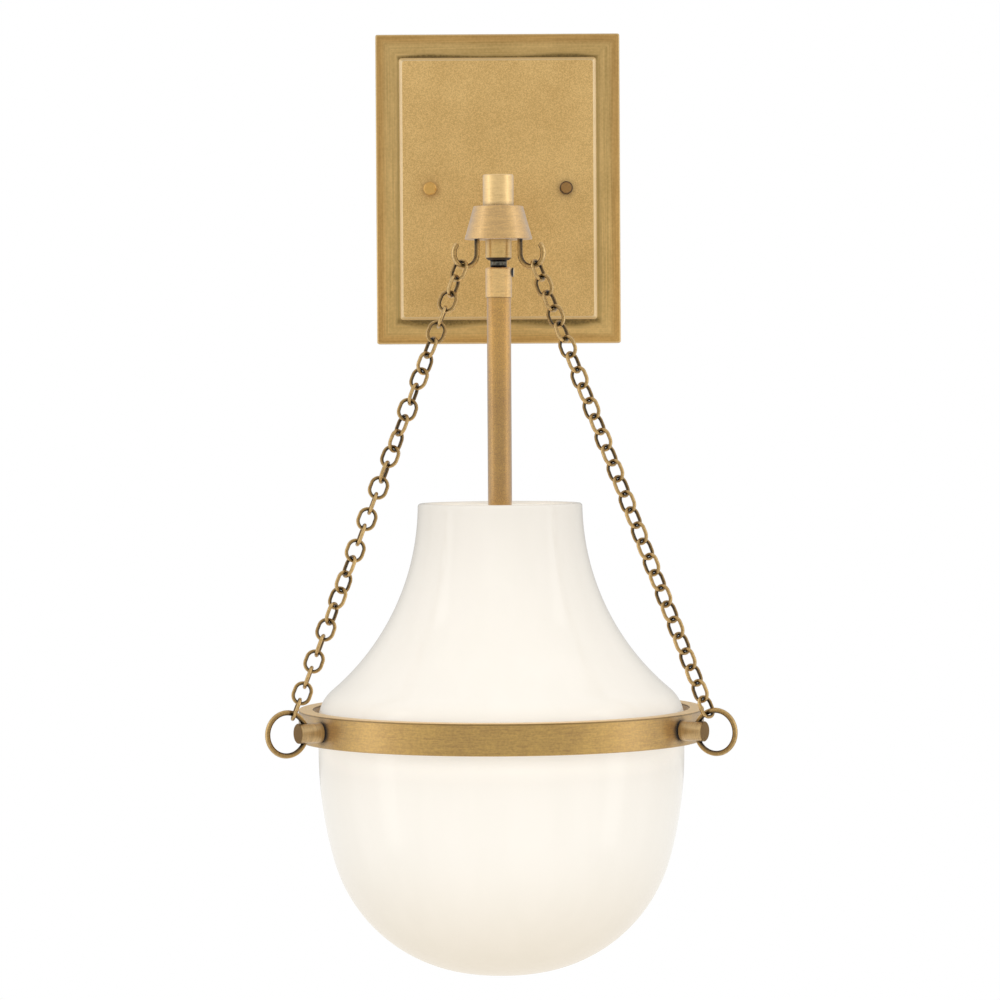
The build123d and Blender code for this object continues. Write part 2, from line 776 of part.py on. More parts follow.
for side, azimuth in azimuths.items():
    section = radial_plane(azimuth)
    start = section.from_local_coords((bend_out, bend_z, 0))
    down = section.from_local_coords((bend_out + sin(chain_lean), bend_z - cos(chain_lean), 0)) - start
    across = section.from_local_coords((bend_out + cos(chain_lean), bend_z + sin(chain_lean), 0)) - start
    chain_plane = Plane(start, x_dir=down, z_dir=across)
    places = []
    for i in range(link_count):
        along = chain_start + link_reach / 2 + i * link_pitch
        turn = link_roll(side, i / (link_count - 1)) + 90 * (i % 2)
        places.append(chain_plane.location * Location((along, 0, 0), (turn, 0, 0)))
    with BuildPart() as chain:
        with Locations(*places):
            add(link.part)
    keep(chain, f"chain_{side}")

print(f"chain run {chain_run:.2f}, lean {degrees(chain_lean):.2f} deg, link {link_reach + 2 * link_wire_r:.2f} long")
print(f"band radius {band_r:.2f}, ring reach {ring_out + ring_r + ring_wire_r:.2f}, ring to wall "
      f"{axis_out - ring_out - ring_r - ring_wire_r:.2f}")
print(f"heights: ball {ball_z:.2f}, bend {bend_z:.2f}, band {band_z:.2f}, socket {socket_z:.2f}, base {base_z:.2f}")
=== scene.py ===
from functools import cached_property, partialmethod
from math import atan2, cos, degrees, pi, radians, sin, sqrt, tan

import bmesh
import bpy
from mathutils import Matrix, Vector


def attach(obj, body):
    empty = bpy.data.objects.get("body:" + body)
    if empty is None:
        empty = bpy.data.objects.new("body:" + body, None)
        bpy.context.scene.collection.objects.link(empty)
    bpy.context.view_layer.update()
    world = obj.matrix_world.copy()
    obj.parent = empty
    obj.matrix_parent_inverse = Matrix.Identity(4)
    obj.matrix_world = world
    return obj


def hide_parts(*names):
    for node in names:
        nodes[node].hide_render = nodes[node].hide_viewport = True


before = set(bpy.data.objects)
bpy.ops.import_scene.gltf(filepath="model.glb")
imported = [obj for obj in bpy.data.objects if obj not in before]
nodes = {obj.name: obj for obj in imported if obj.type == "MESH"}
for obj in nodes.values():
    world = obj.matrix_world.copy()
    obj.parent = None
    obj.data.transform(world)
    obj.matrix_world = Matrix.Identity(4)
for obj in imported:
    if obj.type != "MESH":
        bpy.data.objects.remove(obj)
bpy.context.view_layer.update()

MM = 0.001

# Sizes of the part, in millimetres, as the solids have them
AXIS_OUT = 138.0
AZIMUTHS = {"left": 210.0, "right": -30.0, "rear": 90.0}
# Roll of the links about their chain, in degrees, at shares of the way from hook to ring
CHAIN_ROLLS = {
    "rear": ((0, 0), (1, 0)),
    "left": ((0, -21), (0.13, -66), (0.23, -111), (0.32, -156), (0.39, -201), (0.5, -241), (0.61, -249),
             (0.66, -258), (0.73, -291), (0.86, -328), (1, -336)),
    "right": ((0, 2), (0.3, 8), (0.5, 15), (1, 15)),
}
PLATE_W, PLATE_H, PLATE_DEPTH, SHEET = 125.5, 159.0, 15.5, 1.5
PANEL_W, PANEL_H, PANEL_RISE, PANEL_BEVEL = 101.0, 135.0, 3.5, 1.8
BROW_RUN = 1.5          # sloping brow round the panel, as high as it is wide
FOOT_ACROSS = 27.4      # from the wall over the plate's edge and border to the panel's foot
FIXING_SPACING, CAP_NUT_R = 69.85, 3.35
HOOK_BEND_R, HOOK_WIRE_R, BEND_OUT, BEND_Z = 6.4, 1.25, 18.4, -37.6
HOOK_TOP_Z, HOOK_CURL, HOOK_TIP_R = -22.6, 225.0, 0.7
HUB_Z, COLLAR_Z, SCREW_END_X = -40.6, -44.2, 7.55
BAND_R, BAND_TOP_Z, STUD_L = 98.5, -258.0, 12.7
RING_OUT, RING_R, RING_WIRE_R, BAND_Z = 116.9, 10.2, 1.27, -265.6
LINK_COUNT, LINK_W, LINK_WIRE_R, LINK_GAP, HOOK_GAP, RING_GAP = 29, 9.6, 0.88, 0.12, 0.2, 0.35
GLASS_R, RIM_R, GLASS_WALL, NECK_TILT, SHOULDER_R = 88.9, 40.0, 3.0, 50.0, 18.5
SIDE_TOP_Z, SIDE_H, SIDE_ARC_R, SIDE_TILT, BOWL_ARC_R = -263.3, 15.3, 197.2, 15.4, 76.25
BEAD_R, BEAD_Z, BEAD_H = 91.0, -270.2, 5.5
BULB_Z = -314.7
LAMP = Vector((0, -AXIS_OUT * MM, 0))       # a place on the lamp's axis, in metres

# Where the finishes change, in millimetres
# the glass's glow is painted light for the bulb shining through it
GLOW_NEAR, GLOW_FAR = 60.0, 190.0           # distance from the bulb
BOWL_LOW_Z, BOWL_HIGH_Z = -390.0, -310.0    # warm glow below, white glow above
# heights of the painted light just under the band, where the band's shadow would fall
UNDER_BAND_Z, BEHIND_BAND_Z = (-288.0, -274.0), (-268.0, -258.0)
# the stem's painted shading: lighter towards its top
STEM_LOW_Z, STEM_HIGH_Z = -130.0, -60.0
# painted shade along the panel's foot: narrower from the plate's bottom to its top, wider and darker off the
# middle
FOOT_SHADE_LOW_Z, FOOT_SHADE_HIGH_Z = -60.0, 60.0
WIDE_SHADE_IN, WIDE_SHADE_OUT = (8.0, 34.0), (38.0, 52.0)   # off the plate's middle, rising and falling

# Fineness of the meshes that are modelled here
GLASS_SEGMENTS, FLARE_STEPS, BOWL_STEPS, GLASS_STEPS = 160, 28, 26, 10
WIRE_SIDES, LINK_STEPS, RING_STEPS = 14, 36, 72
HOOK_SIDES, SHANK_STEPS, BEND_STEPS = 16, 10, 40
RING_EASE = 0.01        # millimetres off the ring's wire, so that it stays inside the solids' box

# Camera and studio, in metres and degrees
CAMERA_PLACE = (0.0, -2.137, -0.1055)
CAMERA_DOWN, CAMERA_ROLL = 1.475, -0.34
LENS, SENSOR = 148.2, 36.0      # millimetres
FLOOR_Z, FLOOR_HALF = -1.6, 12.0
AIM = Vector((0, -0.12, -0.15))


# Shader nodes

class Nodes:
    """A node tree that is filled from left to right."""

    def __init__(self, tree):
        self.tree = tree

    @cached_property
    def where(self):
        """The place on the piece, in the frame's own axes at rest."""
        return self.add("ShaderNodeTexCoord").outputs["Object"]

    @cached_property
    def axes(self):
        """X, Y and Z of the place on the piece."""
        return self.split(self.where)

    def add(self, kind, **settings):
        node = self.tree.nodes.new(kind)
        for key, value in settings.items():
            setattr(node, key, value)
        return node

    def feed(self, source, socket):
        """Link an output to a socket, or set the socket's own value."""
        if isinstance(source, bpy.types.NodeSocket):
            self.tree.links.new(source, socket)
        elif source is not None:
            socket.default_value = source

    def math(self, operation, a, b=None, c=None, clamp=False):
        node = self.add("ShaderNodeMath", operation=operation, use_clamp=clamp)
        for value, socket in zip((a, b, c), node.inputs):
            self.feed(value, socket)
        return node.outputs[0]

    times = partialmethod(math, "MULTIPLY")
    plus = partialmethod(math, "ADD")
    minus = partialmethod(math, "SUBTRACT")

    def span(self, value, low, high, to_low=0.0, to_high=1.0):
        """Move a value from one range to another, and hold it there."""
        node = self.add("ShaderNodeMapRange", interpolation_type="SMOOTHSTEP")
        for item, socket in zip((value, low, high, to_low, to_high), node.inputs):
            self.feed(item, socket)
        return node.outputs[0]

    def mix(self, factor, a, b, blend="MIX"):
        node = self.add("ShaderNodeMix", data_type="RGBA", blend_type=blend)
        for item, socket in zip((factor, a, b), (node.inputs[0], node.inputs[6], node.inputs[7])):
            self.feed(item, socket)
        return node.outputs[2]

    def between(self, value, rise, fall):
        """Mask that rises over one range of a value and falls over another, both in millimetres."""
        up = self.span(value, rise[0] * MM, rise[1] * MM)
        return self.times(up, self.span(value, fall[0] * MM, fall[1] * MM, 1.0, 0.0))

    def split(self, vector):
        """X, Y and Z of a vector."""
        node = self.add("ShaderNodeSeparateXYZ")
        self.feed(vector, node.inputs[0])
        return node.outputs

    def noise(self, place, scale, detail, roughness):
        node = self.add("ShaderNodeTexNoise")
        for key, item in {"Vector": place, "Scale": scale, "Detail": detail, "Roughness": roughness}.items():
            self.feed(item, node.inputs[key])
        return node.outputs["Fac"]

    def mapping(self, place, location=(0, 0, 0), rotation=(0, 0, 0), scale=(1, 1, 1)):
        node = self.add("ShaderNodeMapping")
        self.feed(place, node.inputs["Vector"])
        node.inputs["Location"].default_value = location
        node.inputs["Rotation"].default_value = rotation
        node.inputs["Scale"].default_value = scale
        return node.outputs[0]

    def group(self, name, **values):
        node = self.add("ShaderNodeGroup", node_tree=bpy.data.node_groups[name])
        for key, value in values.items():
            self.feed(value, node.inputs[key.replace("_", " ")])
        return node.outputs


def new_group(name, kind, inputs):
    """Start a node group with named inputs."""
    tree = bpy.data.node_groups.new(name, kind)
    for label, data, value in inputs:
        socket = tree.interface.new_socket(label, in_out="INPUT", socket_type="NodeSocket" + data)
        if value is not None:
            socket.default_value = value
    return tree


def shader_group(name, inputs, outputs):
    """Start a shader node group with named sockets."""
    tree = new_group(name, "ShaderNodeTree", inputs)
    for label, kind in outputs:
        tree.interface.new_socket(label, in_out="OUTPUT", socket_type="NodeSocket" + kind)
    group = Nodes(tree)
    return group, group.add("NodeGroupInput").outputs, group.add("NodeGroupOutput").inputs


def build_brush_group():
    """Brush lines: the place is stretched along the lines, and the lines come in fine and broad ones."""
    g, given, out = shader_group(
        "brush_lines",
        [("Place", "Vector", None), ("Fine", "Float", 1.0), ("Broad", "Float", 0.3)],
        [("Lines", "Float"), ("Height", "Float")],
    )
    fine = g.noise(given["Place"], given["Fine"], 3.0, 0.6)
    broad = g.noise(given["Place"], given["Broad"], 2.0, 0.5)
    lines = g.plus(g.times(fine, 0.6), g.times(broad, 0.4))
    g.feed(g.span(lines, 0.28, 0.72), out["Lines"])
    g.feed(lines, out["Height"])


def build_age_and_shade_group():
    """Aged brass: clouds of tone, small mottling, and brown where pieces meet, found by ambient occlusion:
    partly tarnish, partly painted shade.
    """
    g, given, out = shader_group(
        "brass_patina",
        [("Place", "Vector", None), ("Bright", "Color", (1, 1, 1, 1)), ("Deep", "Color", (1, 1, 1, 1)),
         ("Brown", "Color", (0, 0, 0, 1)), ("Lines", "Float", 0.5), ("Line Weight", "Float", 0.3),
         ("Mottle Scale", "Float", 900.0), ("Mottle Weight", "Float", 0.3), ("Recess Reach", "Float", 0.002),
         ("Recess Weight", "Float", 0.8), ("Extra Brown", "Float", 0.0)],
        [("Color", "Color"), ("Recess", "Float"), ("Mottle", "Float")],
    )
    cloud = g.noise(given["Place"], 38.0, 3.0, 0.55)
    mottle = g.span(g.noise(given["Place"], given["Mottle Scale"], 2.0, 0.6), 0.25, 0.75)
    tone = g.plus(0.5, g.times(g.minus(cloud, 0.5), 0.9))
    tone = g.plus(tone, g.times(g.minus(mottle, 0.5), given["Mottle Weight"]))
    line_part = g.times(g.minus(given["Lines"], 0.5), given["Line Weight"])
    tone = g.plus(tone, line_part, clamp=True)
    colour = g.mix(tone, given["Deep"], given["Bright"])
    # brown in hollows by ambient occlusion: partly tarnish, partly painted shade; Extra Brown adds each
    # finish's own brown marks, most of them painted shade
    hollow = g.add("ShaderNodeAmbientOcclusion", samples=6)
    g.feed(given["Recess Reach"], hollow.inputs["Distance"])
    recess = g.span(hollow.outputs["AO"], 0.95, 0.35)
    ragged = g.plus(0.75, g.times(mottle, 0.5))
    recess = g.plus(g.times(recess, given["Recess Weight"]), given["Extra Brown"])
    recess = g.times(recess, ragged, clamp=True)
    g.feed(g.mix(recess, colour, given["Brown"]), out["Color"])
    g.feed(recess, out["Recess"])
    g.feed(mottle, out["Mottle"])


build_brush_group()
build_age_and_shade_group()


def material(name, **sockets):
    """A new material with its Principled shader's own values set, and its tree."""
    made = bpy.data.materials.new(name)
    made.use_nodes = True
    tree = Nodes(made.node_tree)
    shader = made.node_tree.nodes["Principled BSDF"]
    for key, value in sockets.items():
        shader.inputs[key.replace("_", " ")].default_value = value
    return made, tree, shader.inputs


def bump(tree, height, strength, distance):
    node = tree.add("ShaderNodeBump")
    node.inputs["Strength"].default_value = strength
    node.inputs["Distance"].default_value = distance
    tree.feed(height, node.inputs["Height"])
    return node.outputs[0]


def age_and_shade(tree, bright, deep, brown, mottle, recess, lines=0.5, line_weight=0.0, extra=0.0):
    """Place the group of aged tone and painted shade, with the mottling as scale and weight, and the recess's
    brown as reach and weight.
    """
    return tree.group("brass_patina", Place=tree.where, Bright=bright, Deep=deep, Brown=brown, Lines=lines,
                      Line_Weight=line_weight, Mottle_Scale=mottle[0], Mottle_Weight=mottle[1],
                      Recess_Reach=recess[0], Recess_Weight=recess[1], Extra_Brown=extra)


def dress(tree, shader, finish, roughness, strength):
    """Colour, roughness and fine bumps of a finish that has no brush lines."""
    tree.feed(finish["Color"], shader["Base Color"])
    tree.feed(tree.span(finish["Mottle"], 0.3, 0.7, *roughness), shader["Roughness"])
    tree.feed(bump(tree, finish["Mottle"], strength, PEBBLE_DEPTH), shader["Normal"])


BRASS_BRIGHT = (0.72, 0.465, 0.165, 1)
BRASS_DEEP = (0.50, 0.295, 0.082, 1)
BRASS_BROWN = (0.075, 0.042, 0.016, 1)
LACQUER = dict(Metallic=1.0, Coat_Weight=0.9, Coat_Roughness=0.28, Coat_IOR=1.5, Sheen_Weight=0.15,
               Sheen_Roughness=0.5)
WIRE_LACQUER = dict(Metallic=1.0, Coat_Weight=0.5, Coat_Roughness=0.25)
BRUSH_BUMP = (0.25, 0.00008)    # strength, and depth in metres
PEBBLE_DEPTH = 0.0001


def brushed_brass(name, place, bright=BRASS_BRIGHT, deep=BRASS_DEEP, line_weight=1.15, mottle=(900.0, 0.3),
                  recess=(0.003, 0.8), sheen=0.2, coat_ior=2.0, fade=None, recolour=None):
    """Lacquered brushed brass. The place function gives the brush's own stretched coordinates.

    The recess is its reach and its weight, or a function that gives the weight: brown in hollows, partly
    tarnish and partly painted shade. Fade gives two heights and the shares of the colour there, a painted
    shading by height. The last function gives a mask, the colour there and how brown it is: painted light and
    shade on the band and the hub, a darker end face on each stud."""
    coat = {"Sheen_Weight": sheen, "Coat_IOR": coat_ior, "Coat_Roughness": 0.33}
    made, tree, shader = material(name, **{**LACQUER, **coat})
    lines = tree.group("brush_lines", Place=place(tree))
    extra = 0.0
    if recolour:
        mask, mark_colour, extra = recolour(tree)
        bright = tree.mix(mask, bright, mark_colour)
        deep = tree.mix(mask, deep, mark_colour)
    reach, weight = recess
    if callable(weight):
        weight = weight(tree)
    finish = age_and_shade(tree, bright, deep, BRASS_BROWN, mottle, (reach, weight), lines["Lines"], line_weight,
                    extra)
    colour = finish["Color"]
    if fade:
        colour = tree.mix(1.0, colour, tree.span(tree.axes[2], *fade), "MULTIPLY")
    tree.feed(colour, shader["Base Color"])
    rough = tree.span(lines["Lines"], 0.0, 1.0, 0.32, 0.48)
    dulled = finish["Recess"]
    if recolour:
        rough = tree.plus(rough, tree.times(mask, 0.15))
        dulled = tree.math("MAXIMUM", dulled, mask)
    tree.feed(tree.span(dulled, 0.0, 1.0, LACQUER["Coat_Weight"], 0.1), shader["Coat Weight"])
    tree.feed(tree.plus(rough, tree.times(finish["Recess"], 0.3)), shader["Roughness"])
    tree.feed(bump(tree, lines["Height"], *BRUSH_BUMP), shader["Normal"])
    return made


def lathe_lines(tree):
    """Strokes round the lamp's axis: a few millimetres long, close together up it."""
    return tree.mapping(tree.where, (0, 18.0, 0), scale=(300, 300, 2600))


def band_lines(tree):
    """Short strokes round the band."""
    return tree.mapping(tree.where, (0, 4.0, 0), scale=(330, 330, 4200))


def above_and_below(tree):
    """Mask of the plate's level strips above and below the panel."""
    return tree.span(tree.math("ABSOLUTE", tree.axes[2]), (PANEL_H / 2 - 2.5) * MM, PANEL_H / 2 * MM)


def band_light_and_shade(tree):
    """Cream top face, a painted reflection, with a brown line of painted shade along the edge in front of it.
    """
    height = tree.axes[2]
    top = tree.span(height, (BAND_TOP_Z - 0.35) * MM, (BAND_TOP_Z - 0.1) * MM)
    below = tree.span(height, (BAND_TOP_Z - 1.2) * MM, (BAND_TOP_Z - 0.6) * MM)
    line = tree.times(below, tree.minus(1.0, top))
    return top, (0.94, 0.66, 0.30, 1), tree.times(line, 0.5)


def band_stud_shade(tree):
    """Weight of the brown painted shade round the studs on the band's outer face, and little of it inside."""
    out = tree.add("ShaderNodeVectorMath", operation="LENGTH")
    tree.feed(tree.mapping(tree.where, (0, AXIS_OUT * MM, 0), scale=(1, 1, 0)), out.inputs[0])
    return tree.span(out.outputs["Value"], (BAND_R - 1.5) * MM, (BAND_R - 0.5) * MM, 0.4, 1.2)


def arm_lines(tree):
    """Lines round the level arm."""
    return tree.mapping(tree.where, scale=(130, 2600, 130))


def stud_lines(azimuth):
    """Lines round a stud's level axis."""
    def place(tree):
        turned = tree.mapping(tree.where, rotation=(0, 0, -radians(azimuth)))
        return tree.mapping(turned, scale=(2600, 150, 150))
    return place


def hub_underside_shade(tree):
    """Nearly black chamfer under the hub, painted shade."""
    under = tree.span(tree.axes[2], (HUB_Z + 1.0) * MM, (HUB_Z + 1.25) * MM, 1.0, 0.0)
    return under, (0.03, 0.02, 0.01, 1), under


def stud_dark_end(azimuth):
    """Darker brown end face of a stud."""
    def darken_end(tree):
        out = tree.add("ShaderNodeVectorMath", operation="DOT_PRODUCT")
        tree.feed(tree.mapping(tree.where, (0, AXIS_OUT * MM, 0)), out.inputs[0])
        out.inputs[1].default_value = (cos(radians(azimuth)), sin(radians(azimuth)), 0)
        end = tree.span(out.outputs["Value"], (BAND_R + STUD_L - 0.2) * MM, (BAND_R + STUD_L - 0.05) * MM)
        return end, (0.25, 0.135, 0.026, 1), tree.times(end, 0.1)
    return darken_end


turned_brass = brushed_brass("turned_brass", lathe_lines, (0.75, 0.43, 0.07, 1), (0.54, 0.275, 0.02, 1),
                             mottle=(1300.0, 0.7), sheen=0.4, coat_ior=2.4)
collar_brass = brushed_brass("collar_brass", lathe_lines, (0.95, 0.58, 0.13, 1), (0.72, 0.40, 0.06, 1),
                             mottle=(1300.0, 0.7), sheen=0.35, coat_ior=2.4)
hub_brass = brushed_brass("hub_brass", lathe_lines, (0.81, 0.52, 0.13, 1), (0.60, 0.35, 0.06, 1),
                          mottle=(1300.0, 0.7), recess=(0.003, 0.3), recolour=hub_underside_shade)
post_brass = brushed_brass("post_brass", lathe_lines, (1.0, 0.66, 0.21, 1), (0.82, 0.50, 0.12, 1),
                           mottle=(1300.0, 0.6), sheen=0.4, coat_ior=2.4)
# painted shading: the stem's colour lighter towards its top
stem_brass = brushed_brass("stem_brass", lathe_lines, (0.58, 0.31, 0.03, 1), (0.36, 0.165, 0.005, 1),
                           line_weight=0.4, mottle=(1900.0, 1.1), sheen=0.35,
                           fade=(STEM_LOW_Z * MM, STEM_HIGH_Z * MM, 0.95, 1.3))
band_brass = brushed_brass("band_brass", band_lines, (0.65, 0.385, 0.05, 1), (0.41, 0.21, 0.012, 1),
                           line_weight=1.0, mottle=(900.0, 0.5), recess=(0.005, band_stud_shade), recolour=band_light_and_shade)
arm_brass = brushed_brass("arm_brass", arm_lines)
stud_brass = {
    side: brushed_brass(f"stud_brass_{side}", stud_lines(azimuth), (0.64, 0.41, 0.125, 1),
                        (0.38, 0.215, 0.045, 1), recess=(0.003, 1.1), sheen=0.1, recolour=stud_dark_end(azimuth))
    for side, azimuth in AZIMUTHS.items()
}


def make_border_brass():
    """The plate's border: lines along its edges, orange at the edge and lighter olive inward as painted
    shading, paler on the rounded outer edge, brown painted shade round the panel, and painted shading lighter
    towards the bottom.
    """
    made, tree, shader = material("border_brass", **LACQUER)
    # U runs round the plate, V across its edge and border
    round_plate = tree.add("ShaderNodeUVMap", uv_map="finish").outputs[0]
    lines = tree.group("brush_lines", Place=tree.mapping(round_plate, scale=(22, 1500, 1)))
    across = tree.split(round_plate)[1]
    height = tree.axes[2]
    level_side = above_and_below(tree)
    # painted shading across the flat border: orange at the edge, lighter and olive inward
    inward = tree.span(across, (PLATE_DEPTH + 2.0) * MM, (PLATE_DEPTH + 6.0) * MM)
    edge = tree.between(across, (PLATE_DEPTH - 0.6, PLATE_DEPTH - 0.2),
                        (PLATE_DEPTH + 0.1, PLATE_DEPTH + 0.5))
    bright = tree.mix(inward, (0.72, 0.43, 0.12, 1), (0.83, 0.55, 0.195, 1))
    deep = tree.mix(inward, (0.48, 0.26, 0.055, 1), (0.53, 0.335, 0.09, 1))
    bright = tree.mix(edge, bright, (0.80, 0.57, 0.26, 1))
    deep = tree.mix(edge, deep, (0.66, 0.44, 0.17, 1))
    brown = tree.mix(level_side, (0.38, 0.28, 0.105, 1), (0.22, 0.15, 0.05, 1))
    # painted shade: a brown strip along the panel's foot, with an uneven edge
    uneven = tree.noise(tree.mapping(tree.where, scale=(0.25, 1, 1)), 180.0, 3.0, 0.5)
    off_middle = tree.math("ABSOLUTE", tree.axes[0])
    wide_shade = tree.times(tree.between(off_middle, WIDE_SHADE_IN, WIDE_SHADE_OUT), level_side)
    reach = tree.span(height, FOOT_SHADE_LOW_Z * MM, FOOT_SHADE_HIGH_Z * MM, 3.0 * MM, 1.5 * MM)
    reach = tree.times(reach, tree.span(uneven, 0.2, 0.8, 0.8, 1.2))
    reach = tree.times(reach, tree.plus(0.8, tree.times(wide_shade, 0.6)))
    foot = tree.minus(FOOT_ACROSS * MM, across)
    strip = tree.span(tree.math("DIVIDE", foot, reach), 0.3, 1.5, 1.0, 0.0)
    extra = tree.times(strip, tree.span(level_side, 0.0, 1.0, 0.45, 0.7))
    extra = tree.plus(extra, tree.times(tree.times(strip, wide_shade), 0.25))
    finish = age_and_shade(tree, bright, deep, brown, (700.0, 0.35), (0.004, 0.35), lines["Lines"], 0.9, extra)
    # painted shading: the border lighter towards the plate's bottom, darker towards its top
    shade = tree.span(height, -PLATE_H / 2 * MM, PLATE_H / 2 * MM, 1.08, 0.92)
    tree.feed(tree.mix(1.0, finish["Color"], shade, "MULTIPLY"), shader["Base Color"])
    rough = tree.span(lines["Lines"], 0.0, 1.0, 0.34, 0.5)
    tree.feed(tree.span(finish["Recess"], 0.1, 0.8, LACQUER["Coat_Weight"], 0.15), shader["Coat Weight"])
    tree.feed(tree.plus(rough, tree.times(finish["Recess"], 0.2)), shader["Roughness"])
    tree.feed(bump(tree, lines["Height"], *BRUSH_BUMP), shader["Normal"])
    return made


def make_brow_brass():
    """The sloping brow round the panel: pale at the sides, a painted highlight, golden above and below."""
    made, tree, shader = material("brow_brass", **LACQUER)
    level_side = above_and_below(tree)
    bright = tree.mix(level_side, (0.82, 0.62, 0.345, 1), (0.80, 0.54, 0.20, 1))
    deep = tree.mix(level_side, (0.66, 0.48, 0.245, 1), (0.62, 0.40, 0.13, 1))
    finish = age_and_shade(tree, bright, deep, BRASS_BROWN, (900.0, 0.5), (0.001, 0.2))
    dress(tree, shader, finish, (0.34, 0.44), 0.2)
    return made


def make_panel_brass():
    """The raised panel: no lines, a fine pebbled lacquer over mottled brass."""
    made, tree, shader = material("panel_brass", **LACQUER)
    finish = age_and_shade(tree, (0.94, 0.635, 0.24, 1), (0.65, 0.395, 0.112, 1), BRASS_BROWN, (1700.0, 1.0),
                    (0.004, 0.35))
    dress(tree, shader, finish, (0.42, 0.5), 0.15)
    return made


def toned(tone, *colour):
    """A colour made lighter or darker by a share."""
    return tuple(tone * c for c in colour) + (1,)


def wire_brass(name, tone, recess, inner):
    """Chains, hooks and rings: older brass, dark inside the bends and nearly black where the wires touch,
    partly tarnish and partly painted shade; paler on the outer side, partly wear and partly a painted
    highlight.
    """
    made, tree, shader = material(name, **WIRE_LACQUER)
    mark = tree.add("ShaderNodeAttribute", attribute_type="GEOMETRY", attribute_name="inside")
    inside = mark.outputs["Fac"]
    outer = tree.span(inside, -0.25, -0.95)
    bright = tree.mix(outer, toned(tone, 0.50, 0.31, 0.10), toned(tone, 0.84, 0.58, 0.25))
    deep = tree.mix(outer, toned(tone, 0.24, 0.135, 0.038), toned(tone, 0.46, 0.285, 0.10))
    finish = age_and_shade(tree, bright, deep, (0.014, 0.009, 0.005, 1), (1000.0, 0.6), recess,
                    extra=tree.span(inside, 0.0, 0.9, 0.0, inner))
    tree.feed(finish["Color"], shader["Base Color"])
    rough = tree.span(finish["Mottle"], 0.3, 0.7, 0.24, 0.38)
    tree.feed(tree.plus(rough, tree.times(finish["Recess"], 0.3)), shader["Roughness"])
    tree.feed(bump(tree, finish["Mottle"], 0.1, 0.00006), shader["Normal"])
    return made


def make_cap_nut_brass():
    """The two round nuts: the left one pale, the right one darker brown, with painted shade round their
    edges, strongest on the right one.
    """
    made, tree, shader = material("cap_nut_brass", **WIRE_LACQUER)
    x, _, z = tree.axes
    right = tree.span(x, -0.01, 0.01)
    # painted shade round each nut's edge, strong on the right one
    off_x = tree.minus(tree.math("ABSOLUTE", x), FIXING_SPACING / 2 * MM)
    squares = tree.plus(tree.math("POWER", off_x, 2.0), tree.math("POWER", z, 2.0))
    edge = tree.span(tree.math("SQRT", squares), (CAP_NUT_R - 0.8) * MM, (CAP_NUT_R - 0.5) * MM)
    bright = tree.mix(right, (0.88, 0.53, 0.15, 1), (0.46, 0.25, 0.075, 1))
    deep = tree.mix(right, (0.68, 0.385, 0.09, 1), (0.27, 0.135, 0.035, 1))
    finish = age_and_shade(tree, bright, deep, BRASS_BROWN, (900.0, 0.5),
                    (0.0025, tree.span(right, 0.0, 1.0, 0.5, 1.1)),
                    extra=tree.times(edge, tree.span(right, 0.0, 1.0, 0.1, 0.9)))
    dress(tree, shader, finish, (0.36, 0.48), 0.2)
    return made


def make_opal_glass(name, glow):
    """Opal glass: white body under a clear skin, with a painted glow that stands in for the bulb's light
    through it, weaker far from the bulb.

    The painted glow is warmer low in the bowl, and stronger just under the band, as painted light where the
    band's shadow would fall."""
    made, tree, shader = material(name, Roughness=0.14, IOR=1.5, Emission_Strength=1.0)
    streak = tree.span(tree.noise(tree.mapping(tree.where, scale=(70, 70, 7)), 1.0, 3.0, 0.5), 0.3, 0.7)
    tree.feed(tree.mix(streak, (0.727, 0.683, 0.612, 1), (0.743, 0.697, 0.628, 1)), shader["Base Color"])
    # painted glow: the bulb's light through the glass, weaker far from the bulb
    apart = tree.add("ShaderNodeVectorMath", operation="DISTANCE")
    tree.feed(tree.where, apart.inputs[0])
    apart.inputs[1].default_value = (0, -AXIS_OUT * MM, BULB_Z * MM)
    near = tree.span(apart.outputs["Value"], GLOW_NEAR * MM, GLOW_FAR * MM, 1.0, 0.5)
    height = tree.axes[2]
    # painted light just under the band, where the band's shadow would fall
    painted_fill_under_band = tree.between(height, UNDER_BAND_Z, BEHIND_BAND_Z)
    near = tree.plus(near, tree.times(painted_fill_under_band, 0.42))
    upper = tree.span(height, BOWL_LOW_Z * MM, BOWL_HIGH_Z * MM)
    warmth = tree.mix(upper, (0.85, 0.69, 0.45, 1), (1.06, 1.05, 1.06, 1))
    tinted = tree.mix(1.0, glow, warmth, "MULTIPLY")
    tree.feed(tree.mix(1.0, tinted, near, "MULTIPLY"), shader["Emission Color"])
    return made


def plain_metal(name, colour, dark, roughness, scale=700.0):
    """Plated or uncoated metal of the hidden fittings, with a little tarnish and brown painted shade in its
    hollows.
    """
    made, tree, shader = material(name, Metallic=1.0)
    finish = age_and_shade(tree, colour, dark, toned(0.3, *dark[:3]), (scale, 0.5), (0.002, 0.7))
    tree.feed(finish["Color"], shader["Base Color"])
    tree.feed(tree.span(finish["Mottle"], 0.25, 0.75, roughness, roughness + 0.14), shader["Roughness"])
    tree.feed(bump(tree, finish["Mottle"], 0.15, 0.00005), shader["Normal"])
    return made


